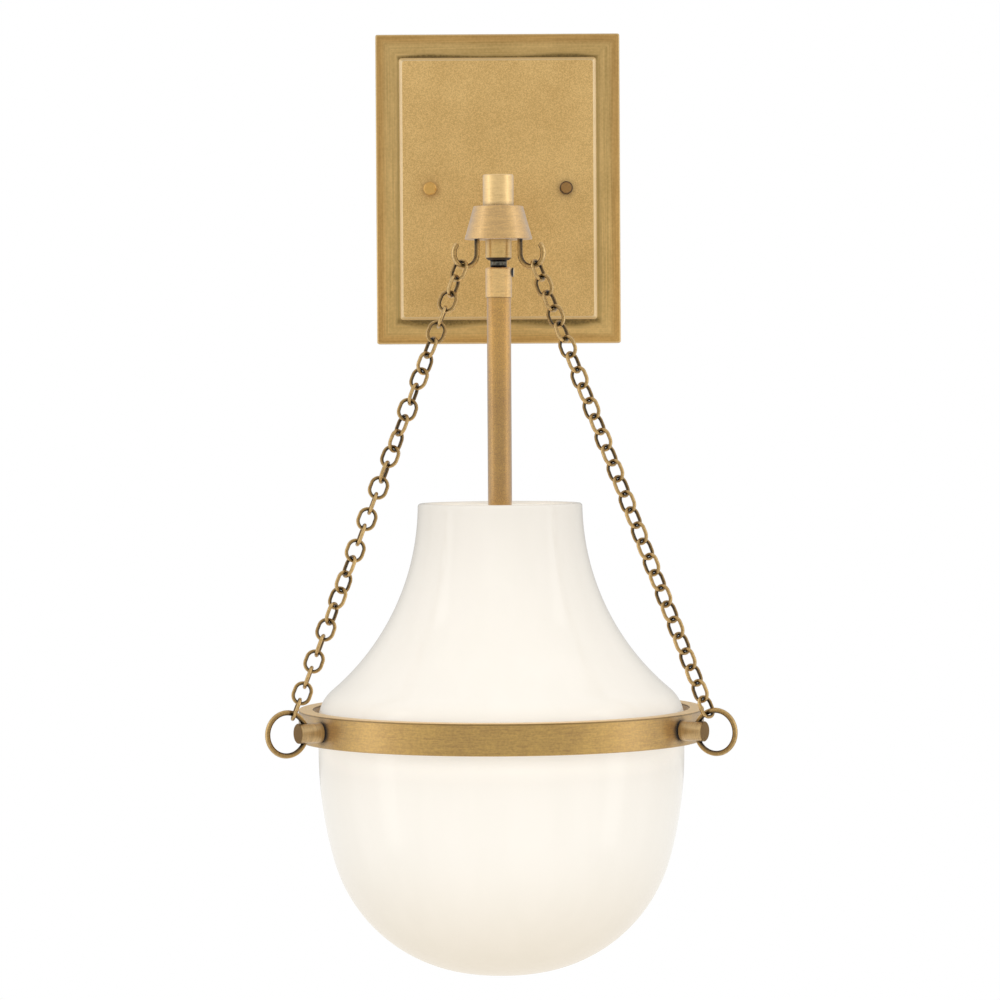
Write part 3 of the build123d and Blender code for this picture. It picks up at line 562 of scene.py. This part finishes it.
def make_neck_steel():
    """The swivel's neck: dark steel, black at both ends as painted shade where it meets the hub and the
    collar.
    """
    made, tree, shader = material("neck_steel", Metallic=1.0)
    height = tree.axes[2]
    # painted shade at both ends, where the neck runs into the hub and the collar
    ends = tree.plus(tree.span(height, (HUB_Z - 0.9) * MM, (HUB_Z - 0.6) * MM),
                     tree.span(height, (COLLAR_Z + 0.8) * MM, (COLLAR_Z + 1.1) * MM, 1.0, 0.0))
    finish = age_and_shade(tree, (0.22, 0.21, 0.17, 1), (0.05, 0.047, 0.038, 1), (0.008, 0.007, 0.006, 1),
                    (600.0, 1.2), (0.002, 0.6), extra=tree.times(ends, 1.6))
    tree.feed(finish["Color"], shader["Base Color"])
    tree.feed(tree.span(finish["Mottle"], 0.25, 0.75, 0.28, 0.42), shader["Roughness"])
    return made


def make_screw_steel():
    """The set screw: black, with a pale end, a painted highlight."""
    made, tree, shader = material("screw_steel", Coat_Weight=0.2, Coat_Roughness=0.08)
    x = tree.axes[0]
    end = tree.span(x, (SCREW_END_X - 0.5) * MM, (SCREW_END_X - 0.35) * MM)
    tree.feed(tree.mix(end, (0.02, 0.02, 0.022, 1), (0.85, 0.68, 0.42, 1)), shader["Base Color"])
    tree.feed(tree.span(end, 0.0, 1.0, 0.35, 0.5), shader["Roughness"])
    return made


def moulded(name, colour, dark, roughness, scale, coat=0.0, emission=None):
    """A glazed, moulded or painted body with slight unevenness."""
    made, tree, shader = material(name, Coat_Weight=coat, Coat_Roughness=0.08)
    spread = tree.noise(tree.where, scale, 3.0, 0.6)
    tree.feed(tree.mix(tree.span(spread, 0.3, 0.7), dark, colour), shader["Base Color"])
    tree.feed(tree.span(spread, 0.3, 0.7, roughness, roughness + 0.1), shader["Roughness"])
    tree.feed(bump(tree, spread, 0.12, PEBBLE_DEPTH), shader["Normal"])
    if emission:
        shader["Emission Strength"].default_value = 1.0
        tree.feed(tree.mix(spread, toned(0.85, *emission[:3]), emission), shader["Emission Color"])
    return made


border_brass = make_border_brass()
panel_brass = make_panel_brass()
brow_brass = make_brow_brass()
chain_brass = wire_brass("chain_brass", 1.0, (0.0025, 1.1), 0.75)
hook_brass = wire_brass("hook_brass", 1.1, (0.005, 0.7), 0.75)
cap_nut_brass = make_cap_nut_brass()
opal_glass = make_opal_glass("opal_glass", (0.295, 0.29, 0.265, 1))
opal_lining = make_opal_glass("opal_lining", (0.40, 0.43, 0.44, 1))
zinc_steel = plain_metal("zinc_steel", (0.62, 0.63, 0.64, 1), (0.42, 0.43, 0.45, 1), 0.28)
socket_brass = plain_metal("socket_brass", (0.66, 0.50, 0.25, 1), (0.5, 0.35, 0.14, 1), 0.3)
plate_back_brass = plain_metal("plate_back_brass", (0.5, 0.36, 0.16, 1), (0.34, 0.22, 0.09, 1), 0.42, 500.0)
bulb_metal = plain_metal("bulb_metal", (0.75, 0.75, 0.76, 1), (0.6, 0.6, 0.61, 1), 0.25)
neck_steel = make_neck_steel()
screw_steel = make_screw_steel()
ground_green = moulded("ground_green", (0.10, 0.40, 0.16, 1), (0.06, 0.30, 0.10, 1), 0.35, 600.0, 0.2)
gasket_rubber = moulded("gasket_rubber", (0.80, 0.80, 0.78, 1), (0.70, 0.70, 0.68, 1), 0.55, 400.0)
socket_ceramic = moulded("socket_ceramic", (0.90, 0.89, 0.86, 1), (0.84, 0.82, 0.78, 1), 0.15, 120.0, 0.4)
bulb_black = moulded("bulb_black", (0.03, 0.03, 0.03, 1), (0.015, 0.015, 0.015, 1), 0.15, 500.0, 0.3)
bulb_frosted = moulded("bulb_frosted", (0.90, 0.87, 0.80, 1), (0.86, 0.82, 0.74, 1), 0.45, 300.0,
                       emission=(1.6, 1.25, 0.78, 1))

NODE_FINISHES = {
    turned_brass: ["crown_cone"],
    collar_brass: ["stem_collar"],
    hub_brass: ["crown_hub"],
    post_brass: ["crown_post"],
    stem_brass: ["stem_tube"],
    band_brass: ["shade_band"],
    arm_brass: ["arm_tube"],
    border_brass: ["backplate"],
    cap_nut_brass: ["cap_nuts"],
    hook_brass: [f"hook_{side}" for side in AZIMUTHS],
    chain_brass: [f"{kind}_{side}" for kind in ("ring", "chain") for side in AZIMUTHS],
    zinc_steel: ["crossbar", "plate_studs", "stud_lock_nuts", "arm_nipple", "arm_washer", "arm_nut",
                 "crown_nipple", "stud_screws"],
    ground_green: ["ground_screw"],
    neck_steel: ["swivel_ball"],
    screw_steel: ["set_screw"],
    opal_glass: ["glass_shade"],
    gasket_rubber: ["glass_gasket"],
    socket_ceramic: ["socket_body"],
    socket_brass: ["socket_cap", "socket_shell", "centre_contact", "bulb_contact"],
    bulb_frosted: ["bulb_glass"],
    bulb_metal: ["bulb_base"],
    bulb_black: ["bulb_insulator"],
    **{stud_brass[side]: [f"stud_{side}"] for side in AZIMUTHS},
}
for finish, names in NODE_FINISHES.items():
    for name in names:
        nodes[name].data.materials.clear()
        nodes[name].data.materials.append(finish)


# Pieces

def finished_piece(name, mesh, body, slot, replaced, *finishes):
    """Put a mesh in the scene as a piece that rides on a body and stands for its solids."""
    piece = bpy.data.objects.new(name, mesh)
    bpy.context.scene.collection.objects.link(piece)
    for finish in finishes:
        mesh.materials.append(finish)
    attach(piece, body)
    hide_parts(*replaced)
    return piece


def mesh_of(bm, name, angle=None):
    """Close a bmesh into a mesh, smooth where its faces meet at less than the angle."""
    bmesh.ops.recalc_face_normals(bm, faces=bm.faces)
    mesh = bpy.data.meshes.new(name)
    bm.to_mesh(mesh)
    bm.free()
    if angle:
        mesh.shade_smooth()
        mesh.set_sharp_from_angle(angle=radians(angle))
    return mesh


def arc(centre, radius, start, end, steps):
    """Points of an arc in a flat outline, angles in degrees."""
    angles = [radians(start + (end - start) * i / steps) for i in range(steps + 1)]
    return [(centre[0] + radius * cos(a), centre[1] + radius * sin(a)) for a in angles]


def bent(before, corner, after, radius, steps=4):
    """Points of the rounding where two straight lines of a flat outline meet."""
    corner = Vector(corner)
    back = (Vector(before) - corner).normalized()
    on = (Vector(after) - corner).normalized()
    half = back.angle(on) / 2
    centre = corner + (back + on).normalized() * radius / sin(half)
    first = corner + back * radius / tan(half) - centre
    last = corner + on * radius / tan(half) - centre
    start = atan2(first.y, first.x)
    turn = atan2(first.x * last.y - first.y * last.x, first.dot(last))
    angles = [start + turn * i / steps for i in range(steps + 1)]
    return [(centre.x + radius * cos(a), centre.y + radius * sin(a)) for a in angles]


def bridge(bm, rows):
    """Faces all round between each row of points and the next. A row may be a single point."""
    for upper, lower in zip(rows, rows[1:]):
        count = max(len(upper), len(lower))
        for i in range(count):
            j = (i + 1) % count
            loop = [upper[i % len(upper)], upper[j % len(upper)],
                    lower[j % len(lower)], lower[i % len(lower)]]
            bm.faces.new(list(dict.fromkeys(loop)))


def turned_mesh(name, outline, segments):
    """Revolve an outline of (radius, height) round the lamp's axis."""
    bm = bmesh.new()
    rows = []
    for radius, height in outline:
        if radius < 1e-6:
            rows.append([bm.verts.new((0, -AXIS_OUT * MM, height * MM))])
            continue
        row = []
        for i in range(segments):
            turn = 2 * pi * i / segments
            x, y = radius * cos(turn), radius * sin(turn) - AXIS_OUT
            row.append(bm.verts.new((x * MM, y * MM, height * MM)))
        rows.append(row)
    bridge(bm, rows)
    return mesh_of(bm, name)


def glass_side(inset):
    """Half outline of one face of the glass from rim to foot: flare, shoulder, upright side, bowl."""
    lean = radians(NECK_TILT)
    side_lean = radians(SIDE_TILT)
    flare_r = (GLASS_R - RIM_R) / (1 - cos(lean)) - SHOULDER_R
    rim_z = SIDE_TOP_Z + (flare_r + SHOULDER_R) * sin(lean)
    side_centre = (GLASS_R - SIDE_ARC_R, SIDE_TOP_Z - SIDE_H)
    reach = SIDE_ARC_R - BOWL_ARC_R
    bowl_centre = (side_centre[0] + reach * cos(side_lean), side_centre[1] - reach * sin(side_lean))
    flare = arc((RIM_R + flare_r, rim_z), flare_r + inset, 180, 180 + NECK_TILT, FLARE_STEPS)
    shoulder = arc((GLASS_R - SHOULDER_R, SIDE_TOP_Z), SHOULDER_R - inset, NECK_TILT, 0, GLASS_STEPS)
    side = arc(side_centre, SIDE_ARC_R - inset, 0, -SIDE_TILT, GLASS_STEPS)
    bowl = arc(bowl_centre, BOWL_ARC_R - inset, -SIDE_TILT, -90, BOWL_STEPS)
    return flare, shoulder[1:], side, bowl[1:] + [(0.0, bowl[-1][1])]


def make_glass():
    """The glass: rounded lip, flared neck, bead that sits in the band, and round bowl."""
    outer = glass_side(0)
    inner = glass_side(GLASS_WALL)
    rim_z = outer[0][0][1]
    lip_r = GLASS_WALL / 2
    lip = arc((RIM_R - lip_r, rim_z - lip_r), lip_r, 180, 0, GLASS_STEPS)
    lip_foot = rim_z - lip_r - 0.3
    below_lip = [p for p in outer[0] if p[1] < lip_foot]
    below_lip_in = [p for p in inner[0] if p[1] < lip_foot]
    edge, root = 0.4, 0.6       # bevels of the bead
    bead_top = BEAD_Z + BEAD_H
    bead = [(GLASS_R, bead_top + root), (GLASS_R + root, bead_top), (BEAD_R - edge, bead_top),
            (BEAD_R, bead_top - edge), (BEAD_R, BEAD_Z + edge), (BEAD_R - edge, BEAD_Z), (GLASS_R, BEAD_Z)]
    face = lip + below_lip + outer[1] + bead + outer[2] + outer[3]
    lining = inner[3][::-1] + inner[2][::-1] + inner[1][::-1] + below_lip_in[::-1] + [lip[0]]
    bm = bmesh.new()
    for slot, outline in enumerate((face, lining)):
        part = turned_mesh("shade_skin", outline, GLASS_SEGMENTS)
        for polygon in part.polygons:
            polygon.material_index = slot
        bm.from_mesh(part)
        bpy.data.meshes.remove(part)
    bmesh.ops.remove_doubles(bm, verts=bm.verts, dist=1e-6)
    mesh = mesh_of(bm, "opal_shade", 40)
    return finished_piece("opal_shade", mesh, "shade", "opal_glass", ["glass_shade"], opal_glass, opal_lining)


def rectangle_loop(half_w, half_h, corner_r, steps):
    """Points round a rectangle with rounded corners."""
    loop = []
    for sx, sz, start in ((1, 1, 0), (-1, 1, 90), (-1, -1, 180), (1, -1, 270)):
        centre = (sx * (half_w - corner_r), sz * (half_h - corner_r))
        loop += arc(centre, corner_r, start, start + 90, steps)
    return loop


def make_backplate():
    """The wall plate: pressed sheet with a soft foot round the raised panel, and UV along its edges."""
    half_w, half_h = PLATE_W / 2, PLATE_H / 2
    edge_r, foot_r, brow_r = 0.8, 0.7, 0.35
    outer_corner, inner_corner, panel_corner = 1.0, 0.35, 1.3
    border, panel, back, brow = range(4)    # material slots
    panel_in = (PLATE_W - PANEL_W) / 2
    front = PLATE_DEPTH + PANEL_RISE
    brow_foot = (panel_in, front - BROW_RUN)
    brow_top = (panel_in + BROW_RUN, front)
    # outline as (inset from the plate's edge, height off the wall), from the wall to the panel
    face = [(0.0, 0.0), (0.0, 4.0), (0.0, 8.0), (0.0, 12.0)]
    face += arc((edge_r, PLATE_DEPTH - edge_r), edge_r, 180, 90, 4)
    face += [(i, PLATE_DEPTH) for i in (2.5, 4.5, 6.5, 8.5, 10.0)]
    face += bent((panel_in - 2.0, PLATE_DEPTH), (panel_in, PLATE_DEPTH), brow_foot, foot_r)
    face += bent((panel_in, PLATE_DEPTH), brow_foot, brow_top, brow_r)
    face += bent(brow_foot, brow_top, (panel_in + 5.0, front), brow_r)
    face += [(panel_in + PANEL_BEVEL + 1.0, front)]
    lining = [(x + SHEET, y - SHEET) for x, y in face if x > edge_r and y > PLATE_DEPTH - 0.01]
    lining = [(SHEET, 0.0), (SHEET, PLATE_DEPTH - SHEET)] + [p for p in lining if p[0] > SHEET + 0.5]
    bm = bmesh.new()
    uv = bm.loops.layers.uv.new("finish")

    def loops_of(outline):
        made = []
        for inset, height in outline:
            corner = panel_corner
            if height < PLATE_DEPTH + 0.01:
                corner = max(inner_corner, outer_corner - 0.1 * inset)
            ring = rectangle_loop(half_w - inset, half_h - inset, corner, 4)
            made.append([bm.verts.new((x * MM, -height * MM, z * MM)) for x, z in ring])
        return made

    def skin(loops, outline, slot):
        across = 0.0
        for k in range(len(loops) - 1):
            middle = (outline[k][0] + outline[k + 1][0]) / 2
            step = sqrt((outline[k + 1][0] - outline[k][0]) ** 2 + (outline[k + 1][1] - outline[k][1]) ** 2)
            along = 0.0
            n = len(loops[k])
            for i in range(n):
                j = (i + 1) % n
                length = (loops[0][j].co - loops[0][i].co).length / MM
                face = bm.faces.new((loops[k][i], loops[k][j], loops[k + 1][j], loops[k + 1][i]))
                face.material_index = slot(middle)
                far, over = along + length, across + step
                corners = ((along, across), (far, across), (far, over), (along, over))
                for loop, corner in zip(face.loops, corners):
                    loop[uv].uv = (corner[0] * MM, corner[1] * MM)
                along = far
            across += step

    def front_slot(inset):
        if inset < brow_foot[0] - 0.1:
            return border
        return brow if inset < brow_top[0] + 0.1 else panel

    outer = loops_of(face)
    inner = loops_of(lining)
    skin(outer, face, front_slot)
    skin(inner, lining, lambda inset: back)
    n = len(outer[0])
    for i in range(n):
        j = (i + 1) % n
        bm.faces.new((outer[0][i], inner[0][i], inner[0][j], outer[0][j])).material_index = back
    bm.faces.new(outer[-1]).material_index = panel
    bm.faces.new(inner[-1]).material_index = back
    mesh = mesh_of(bm, "wall_plate", 35)
    return finished_piece("wall_plate", mesh, "wall_mount", "aged_brass", ["backplate"],
                          border_brass, panel_brass, plate_back_brass, brow_brass)


# Chains, made by Geometry Nodes

class ShapeNodes(Nodes):
    """A Geometry Nodes tree with named inputs."""

    def __init__(self, name, inputs):
        tree = new_group(name, "GeometryNodeTree", inputs)
        super().__init__(tree)
        tree.interface.new_socket("Geometry", in_out="OUTPUT", socket_type="NodeSocketGeometry")
        self.given = self.add("NodeGroupInput").outputs
        self.result = self.add("NodeGroupOutput").inputs

    def node(self, kind, settings=None, **sockets):
        made = self.add(kind, **(settings or {}))
        for key, value in sockets.items():
            self.feed(value, made.inputs[key.replace("_", " ")])
        return made

    def along_x(self, value):
        """A vector that lies along X."""
        made = self.add("ShaderNodeCombineXYZ")
        self.feed(value, made.inputs[0])
        return made.outputs[0]

    def circle(self, steps, radius):
        made = self.node("GeometryNodeCurvePrimitiveCircle", {"mode": "RADIUS"}, Resolution=steps,
                         Radius=radius)
        return made.outputs["Curve"]


def build_chain_tree():
    """A link on each point of a row along X, every second one turned a quarter beyond its point's roll."""
    t = ShapeNodes("chain_links", [
        ("Row", "Geometry", None), ("Reach", "Float", 0.0098), ("Width", "Float", 0.0077),
        ("Wire Radius", "Float", 0.00088), ("Steps", "Int", LINK_STEPS), ("Sway", "Float", 0.05),
        ("Seed", "Int", 4), ("Finish", "Material", None),
    ])
    given = t.given
    half_width = t.math("DIVIDE", given["Width"], 2.0)
    stretch = t.math("DIVIDE", t.minus(given["Reach"], given["Width"]), 2.0)
    x, y, _ = t.split(t.add("GeometryNodeInputPosition").outputs[0])
    side = t.math("SIGN", t.plus(x, 1e-7))
    link = t.node("GeometryNodeSetPosition", Geometry=t.circle(given["Steps"], half_width),
                  Offset=t.along_x(t.times(side, stretch)))
    link_mesh = t.node("GeometryNodeCurveToMesh", Curve=link.outputs["Geometry"],
                       Profile_Curve=t.circle(WIRE_SIDES, given["Wire Radius"]))
    # how far a point of the wire lies on the inside of its link, from -1 to 1
    past_bend = t.math("MAXIMUM", t.minus(t.math("ABSOLUTE", x), stretch), 0.0)
    squares = t.plus(t.math("POWER", past_bend, 2.0), t.math("POWER", y, 2.0))
    off_middle = t.math("SQRT", squares)
    inside = t.math("DIVIDE", t.minus(half_width, off_middle), given["Wire Radius"])
    marked = t.node("GeometryNodeStoreNamedAttribute", {"data_type": "FLOAT", "domain": "POINT"},
                    Geometry=link_mesh.outputs["Mesh"], Name="inside", Value=inside)
    index = t.add("GeometryNodeInputIndex").outputs[0]
    quarter = t.times(t.math("MODULO", index, 2.0), pi / 2)
    sway = t.add("FunctionNodeRandomValue", data_type="FLOAT")
    t.feed(t.times(given["Sway"], -1.0), sway.inputs[2])
    t.feed(given["Sway"], sway.inputs[3])
    t.feed(index, sway.inputs["ID"])
    t.feed(given["Seed"], sway.inputs["Seed"])
    roll = t.node("GeometryNodeInputNamedAttribute", {"data_type": "FLOAT"}, Name="roll").outputs["Attribute"]
    turn = t.plus(t.plus(roll, quarter), sway.outputs[1])
    links = t.node("GeometryNodeInstanceOnPoints", Points=given["Row"], Instance=marked.outputs["Geometry"],
                   Rotation=t.along_x(turn))
    solid = t.node("GeometryNodeRealizeInstances", Geometry=links.outputs["Instances"])
    soft = t.node("GeometryNodeSetShadeSmooth", Geometry=solid.outputs["Geometry"])
    dressed = t.node("GeometryNodeSetMaterial", Geometry=soft.outputs["Geometry"], Material=given["Finish"])
    t.feed(dressed.outputs["Geometry"], t.result["Geometry"])
    return t.tree


def mesh_from_tree(tree, name, base, **values):
    """Run a Geometry Nodes tree once on a base mesh and give its result as a plain mesh."""
    holder = bpy.data.objects.new(name + "_maker", base)
    bpy.context.scene.collection.objects.link(holder)
    modifier = holder.modifiers.new("make", "NODES")
    modifier.node_group = tree
    for socket in tree.interface.items_tree:
        if socket.in_out == "INPUT" and socket.name.replace(" ", "_") in values:
            modifier[socket.identifier] = values[socket.name.replace(" ", "_")]
    seen = holder.evaluated_get(bpy.context.evaluated_depsgraph_get())
    mesh = bpy.data.meshes.new_from_object(seen)
    mesh.name = name
    holder.modifiers.remove(modifier)
    bpy.data.objects.remove(holder)
    bpy.data.meshes.remove(base)
    return mesh


def link_roll(side, share):
    """Roll of a link at a share of the way along its chain, on the straight line between two given places."""
    places = CHAIN_ROLLS[side]
    for (share_a, roll_a), (share_b, roll_b) in zip(places, places[1:]):
        if share <= share_b:
            return radians(roll_a + (roll_b - roll_a) * (share - share_a) / (share_b - share_a))


def radial(azimuth):
    """The ways outward from the lamp's axis, and up."""
    return Vector((cos(radians(azimuth)), sin(radians(azimuth)), 0)), Vector((0, 0, 1))


def place_radial(mesh, azimuth, out_by, up_by):
    """Move a mesh from its own X and Y to a radial upright plane, so far out from the lamp's axis and up."""
    out, up = radial(azimuth)
    mesh.transform(Matrix((out, up, out.cross(up))).transposed().to_4x4())
    mesh.transform(Matrix.Translation(LAMP + (out * out_by + up * up_by) * MM))


def make_rings(tree):
    """A ring is one link without straight sides, in the hole of its stud."""
    for side, azimuth in AZIMUTHS.items():
        point = bpy.data.meshes.new(f"point_{side}")
        point.from_pydata([(0, 0, 0)], [], [])
        point.attributes.new("roll", "FLOAT", "POINT")
        mesh = mesh_from_tree(tree, f"loop_{side}", point, Reach=2 * RING_R * MM, Width=2 * RING_R * MM,
                              Wire_Radius=(RING_WIRE_R - RING_EASE) * MM, Steps=RING_STEPS, Sway=0.0,
                              Finish=chain_brass)
        place_radial(mesh, azimuth, RING_OUT, BAND_Z)
        finished_piece(f"loop_{side}", mesh, f"ring_{side}", "dark_brass", [f"ring_{side}"])


def make_hooks():
    """Hooks of round wire: a shank from inside the cone, a bend and a rounded tip."""
    rise = (BEND_Z - HOOK_TOP_Z) / SHANK_STEPS
    shank = [(BEND_OUT - HOOK_BEND_R, HOOK_TOP_Z + rise * i, 180.0) for i in range(SHANK_STEPS)]
    tip = degrees(HOOK_TIP_R / HOOK_BEND_R)
    turns = [180 + (HOOK_CURL - tip) * i / BEND_STEPS for i in range(BEND_STEPS + 1)]
    radii = [HOOK_WIRE_R] * (len(shank) + len(turns))
    for rounding in (30, 60, 90):
        turns.append(180 + HOOK_CURL - tip * (1 - sin(radians(rounding))))
        radii.append(HOOK_WIRE_R - HOOK_TIP_R * (1 - cos(radians(rounding))))
    bend = [(BEND_OUT + HOOK_BEND_R * cos(radians(a)), BEND_Z + HOOK_BEND_R * sin(radians(a)), a)
            for a in turns]
    for side, azimuth in AZIMUTHS.items():
        bm = bmesh.new()
        inside = bm.verts.layers.float.new("inside")
        rows = []
        for (x, y, turn), radius in zip(shank + bend, radii):
            row = []
            for i in range(HOOK_SIDES):
                a = 2 * pi * i / HOOK_SIDES
                off = radius * cos(a)
                out, up = x + off * cos(radians(turn)), y + off * sin(radians(turn))
                vert = bm.verts.new((out * MM, up * MM, radius * sin(a) * MM))
                vert[inside] = -off / HOOK_WIRE_R
                row.append(vert)
            rows.append(row)
        bridge(bm, rows)
        bm.faces.new(rows[0])
        bm.faces.new(rows[-1])
        mesh = mesh_of(bm, f"bent_hook_{side}", 50)
        place_radial(mesh, azimuth, 0, 0)
        finished_piece(f"bent_hook_{side}", mesh, "wall_mount", "dark_brass", [f"hook_{side}"], hook_brass)


def make_chains(tree):
    """A row of links from each hook's bend to its ring, with the links' own roll."""
    run = sqrt((RING_OUT - BEND_OUT) ** 2 + (BEND_Z - BAND_Z) ** 2)
    lean = atan2(RING_OUT - BEND_OUT, BEND_Z - BAND_Z)
    start = HOOK_BEND_R - HOOK_WIRE_R - HOOK_GAP - LINK_WIRE_R
    end = run - (RING_R - RING_WIRE_R - RING_GAP - LINK_WIRE_R)
    step = 2 * LINK_WIRE_R + LINK_GAP
    reach = (end - start + (LINK_COUNT - 1) * step) / LINK_COUNT
    for side, azimuth in AZIMUTHS.items():
        out, up = radial(azimuth)
        down = out * sin(lean) - up * cos(lean)
        across = out * cos(lean) + up * sin(lean)
        level = across.cross(down)
        hang = LAMP + (out * BEND_OUT + up * BEND_Z) * MM
        row = bpy.data.meshes.new(f"row_{side}")
        middles = [start + reach / 2 + i * (reach - step) for i in range(LINK_COUNT)]
        row.from_pydata([(along * MM, 0, 0) for along in middles], [], [])
        rolls = row.attributes.new("roll", "FLOAT", "POINT")
        for i in range(LINK_COUNT):
            rolls.data[i].value = link_roll(side, i / (LINK_COUNT - 1))
        mesh = mesh_from_tree(tree, f"links_{side}", row, Reach=reach * MM,
                              Width=(LINK_W - 2 * LINK_WIRE_R) * MM, Wire_Radius=LINK_WIRE_R * MM,
                              Finish=chain_brass)
        mesh.transform(Matrix((down, level, across)).transposed().to_4x4())
        mesh.transform(Matrix.Translation(hang))
        finished_piece(f"links_{side}", mesh, f"chain_{side}", "dark_brass", [f"chain_{side}"])


make_glass()
make_backplate()
wire_tree = build_chain_tree()
make_chains(wire_tree)
make_rings(wire_tree)
make_hooks()


# Studio

# How bright the surround is from each way, where 1 is white: dimmest on the wall's side
SURROUND = {"front": 0.68, "side": 0.79, "wall": 0.3, "above": 0.8, "below": 0.8}
# Each lamp's place, its width and height in metres, and its power in watts
LAMPS = {
    "front_soft": ((0.0, -2.6, 0.9), 1.8, 1.2, 20.0),
    "side_left": ((-1.5, -0.45, 0.0), 1.8, 2.2, 2.4),
    "side_right": ((1.5, -0.45, 0.0), 1.8, 2.2, 2.4),
    "strip_left": ((-1.4, -0.52, 0.0), 0.34, 2.0, 1.6),
    "strip_right": ((1.4, -0.52, 0.0), 0.34, 2.0, 1.6),
}


def seen_directly(tree):
    """1 for rays from the camera and through glass, 0 for all others."""
    path = tree.add("ShaderNodeLightPath").outputs
    return tree.math("MAXIMUM", path["Is Camera Ray"], path["Is Transmission Ray"])


def make_surround():
    """White where it is seen directly, and otherwise as bright as SURROUND says."""
    scene = bpy.context.scene
    scene.view_settings.view_transform = "Standard"
    world = bpy.data.worlds.new("studio")
    scene.world = world
    world.use_nodes = True
    tree = Nodes(world.node_tree)
    ground = world.node_tree.nodes["Background"]
    ground.inputs["Color"].default_value = (1, 1, 1, 1)
    _, y, z = tree.split(tree.add("ShaderNodeTexCoord").outputs["Generated"])
    outward = tree.span(y, -0.95, -0.55, SURROUND["front"], SURROUND["side"])
    to_wall = tree.span(y, 0.6, 0.97, 0.0, SURROUND["wall"] - SURROUND["side"])
    outward = tree.plus(outward, to_wall)
    upright = tree.span(z, -0.3, 0.3, SURROUND["below"], SURROUND["above"])
    steep = tree.math("POWER", z, 2.0)
    light = tree.plus(tree.times(outward, tree.minus(1.0, steep)), tree.times(upright, steep))
    seen = seen_directly(tree)
    dimmed = tree.times(light, tree.minus(1.0, seen))
    tree.feed(tree.plus(dimmed, seen), ground.inputs["Strength"])


def make_floor():
    """A far pale floor, white where it is seen directly."""
    bm = bmesh.new()
    bmesh.ops.create_grid(bm, x_segments=2, y_segments=2, size=FLOOR_HALF)
    mesh = bpy.data.meshes.new("floor")
    bm.to_mesh(mesh)
    bm.free()
    floor = bpy.data.objects.new("floor", mesh)
    floor.location = (0, 0, FLOOR_Z)
    bpy.context.scene.collection.objects.link(floor)
    made, tree, _ = material("pale_floor", Base_Color=(0.9, 0.9, 0.9, 1), Roughness=0.9)
    glow = tree.add("ShaderNodeEmission")
    blend = tree.add("ShaderNodeMixShader")
    body = made.node_tree.nodes["Principled BSDF"]
    for source, socket in zip((seen_directly(tree), body.outputs[0], glow.outputs[0]), blend.inputs):
        tree.feed(source, socket)
    tree.feed(blend.outputs[0], made.node_tree.nodes["Material Output"].inputs["Surface"])
    mesh.materials.append(made)


def make_lamps():
    """A broad front lamp for matt light, and upright side lamps and strips for the shine."""
    for name, (place, width, height, power) in LAMPS.items():
        data = bpy.data.lights.new(name, "AREA")
        data.shape = "RECTANGLE"
        data.size, data.size_y = width, height
        data.energy = power
        lamp = bpy.data.objects.new(name, data)
        lamp.location = place
        lamp.rotation_euler = (AIM - Vector(place)).to_track_quat("-Z", "Y").to_euler()
        lamp.visible_camera = False
        lamp.visible_glossy = name != "front_soft"
        lamp.visible_diffuse = name == "front_soft"
        bpy.context.scene.collection.objects.link(lamp)


def make_camera():
    """The photograph's view: level with the stem, looking a little down, with a slight roll."""
    data = bpy.data.cameras.new("view")
    data.lens = LENS
    data.sensor_width = SENSOR
    data.clip_start, data.clip_end = 0.1, 60.0
    camera = bpy.data.objects.new("view", data)
    tilt = Matrix.Rotation(radians(90 - CAMERA_DOWN), 4, "X")
    roll = Matrix.Rotation(radians(CAMERA_ROLL), 4, "Z")
    camera.matrix_world = Matrix.Translation(CAMERA_PLACE) @ tilt @ roll
    bpy.context.scene.collection.objects.link(camera)
    bpy.context.scene.camera = camera


make_surround()
make_floor()
make_lamps()
make_camera()
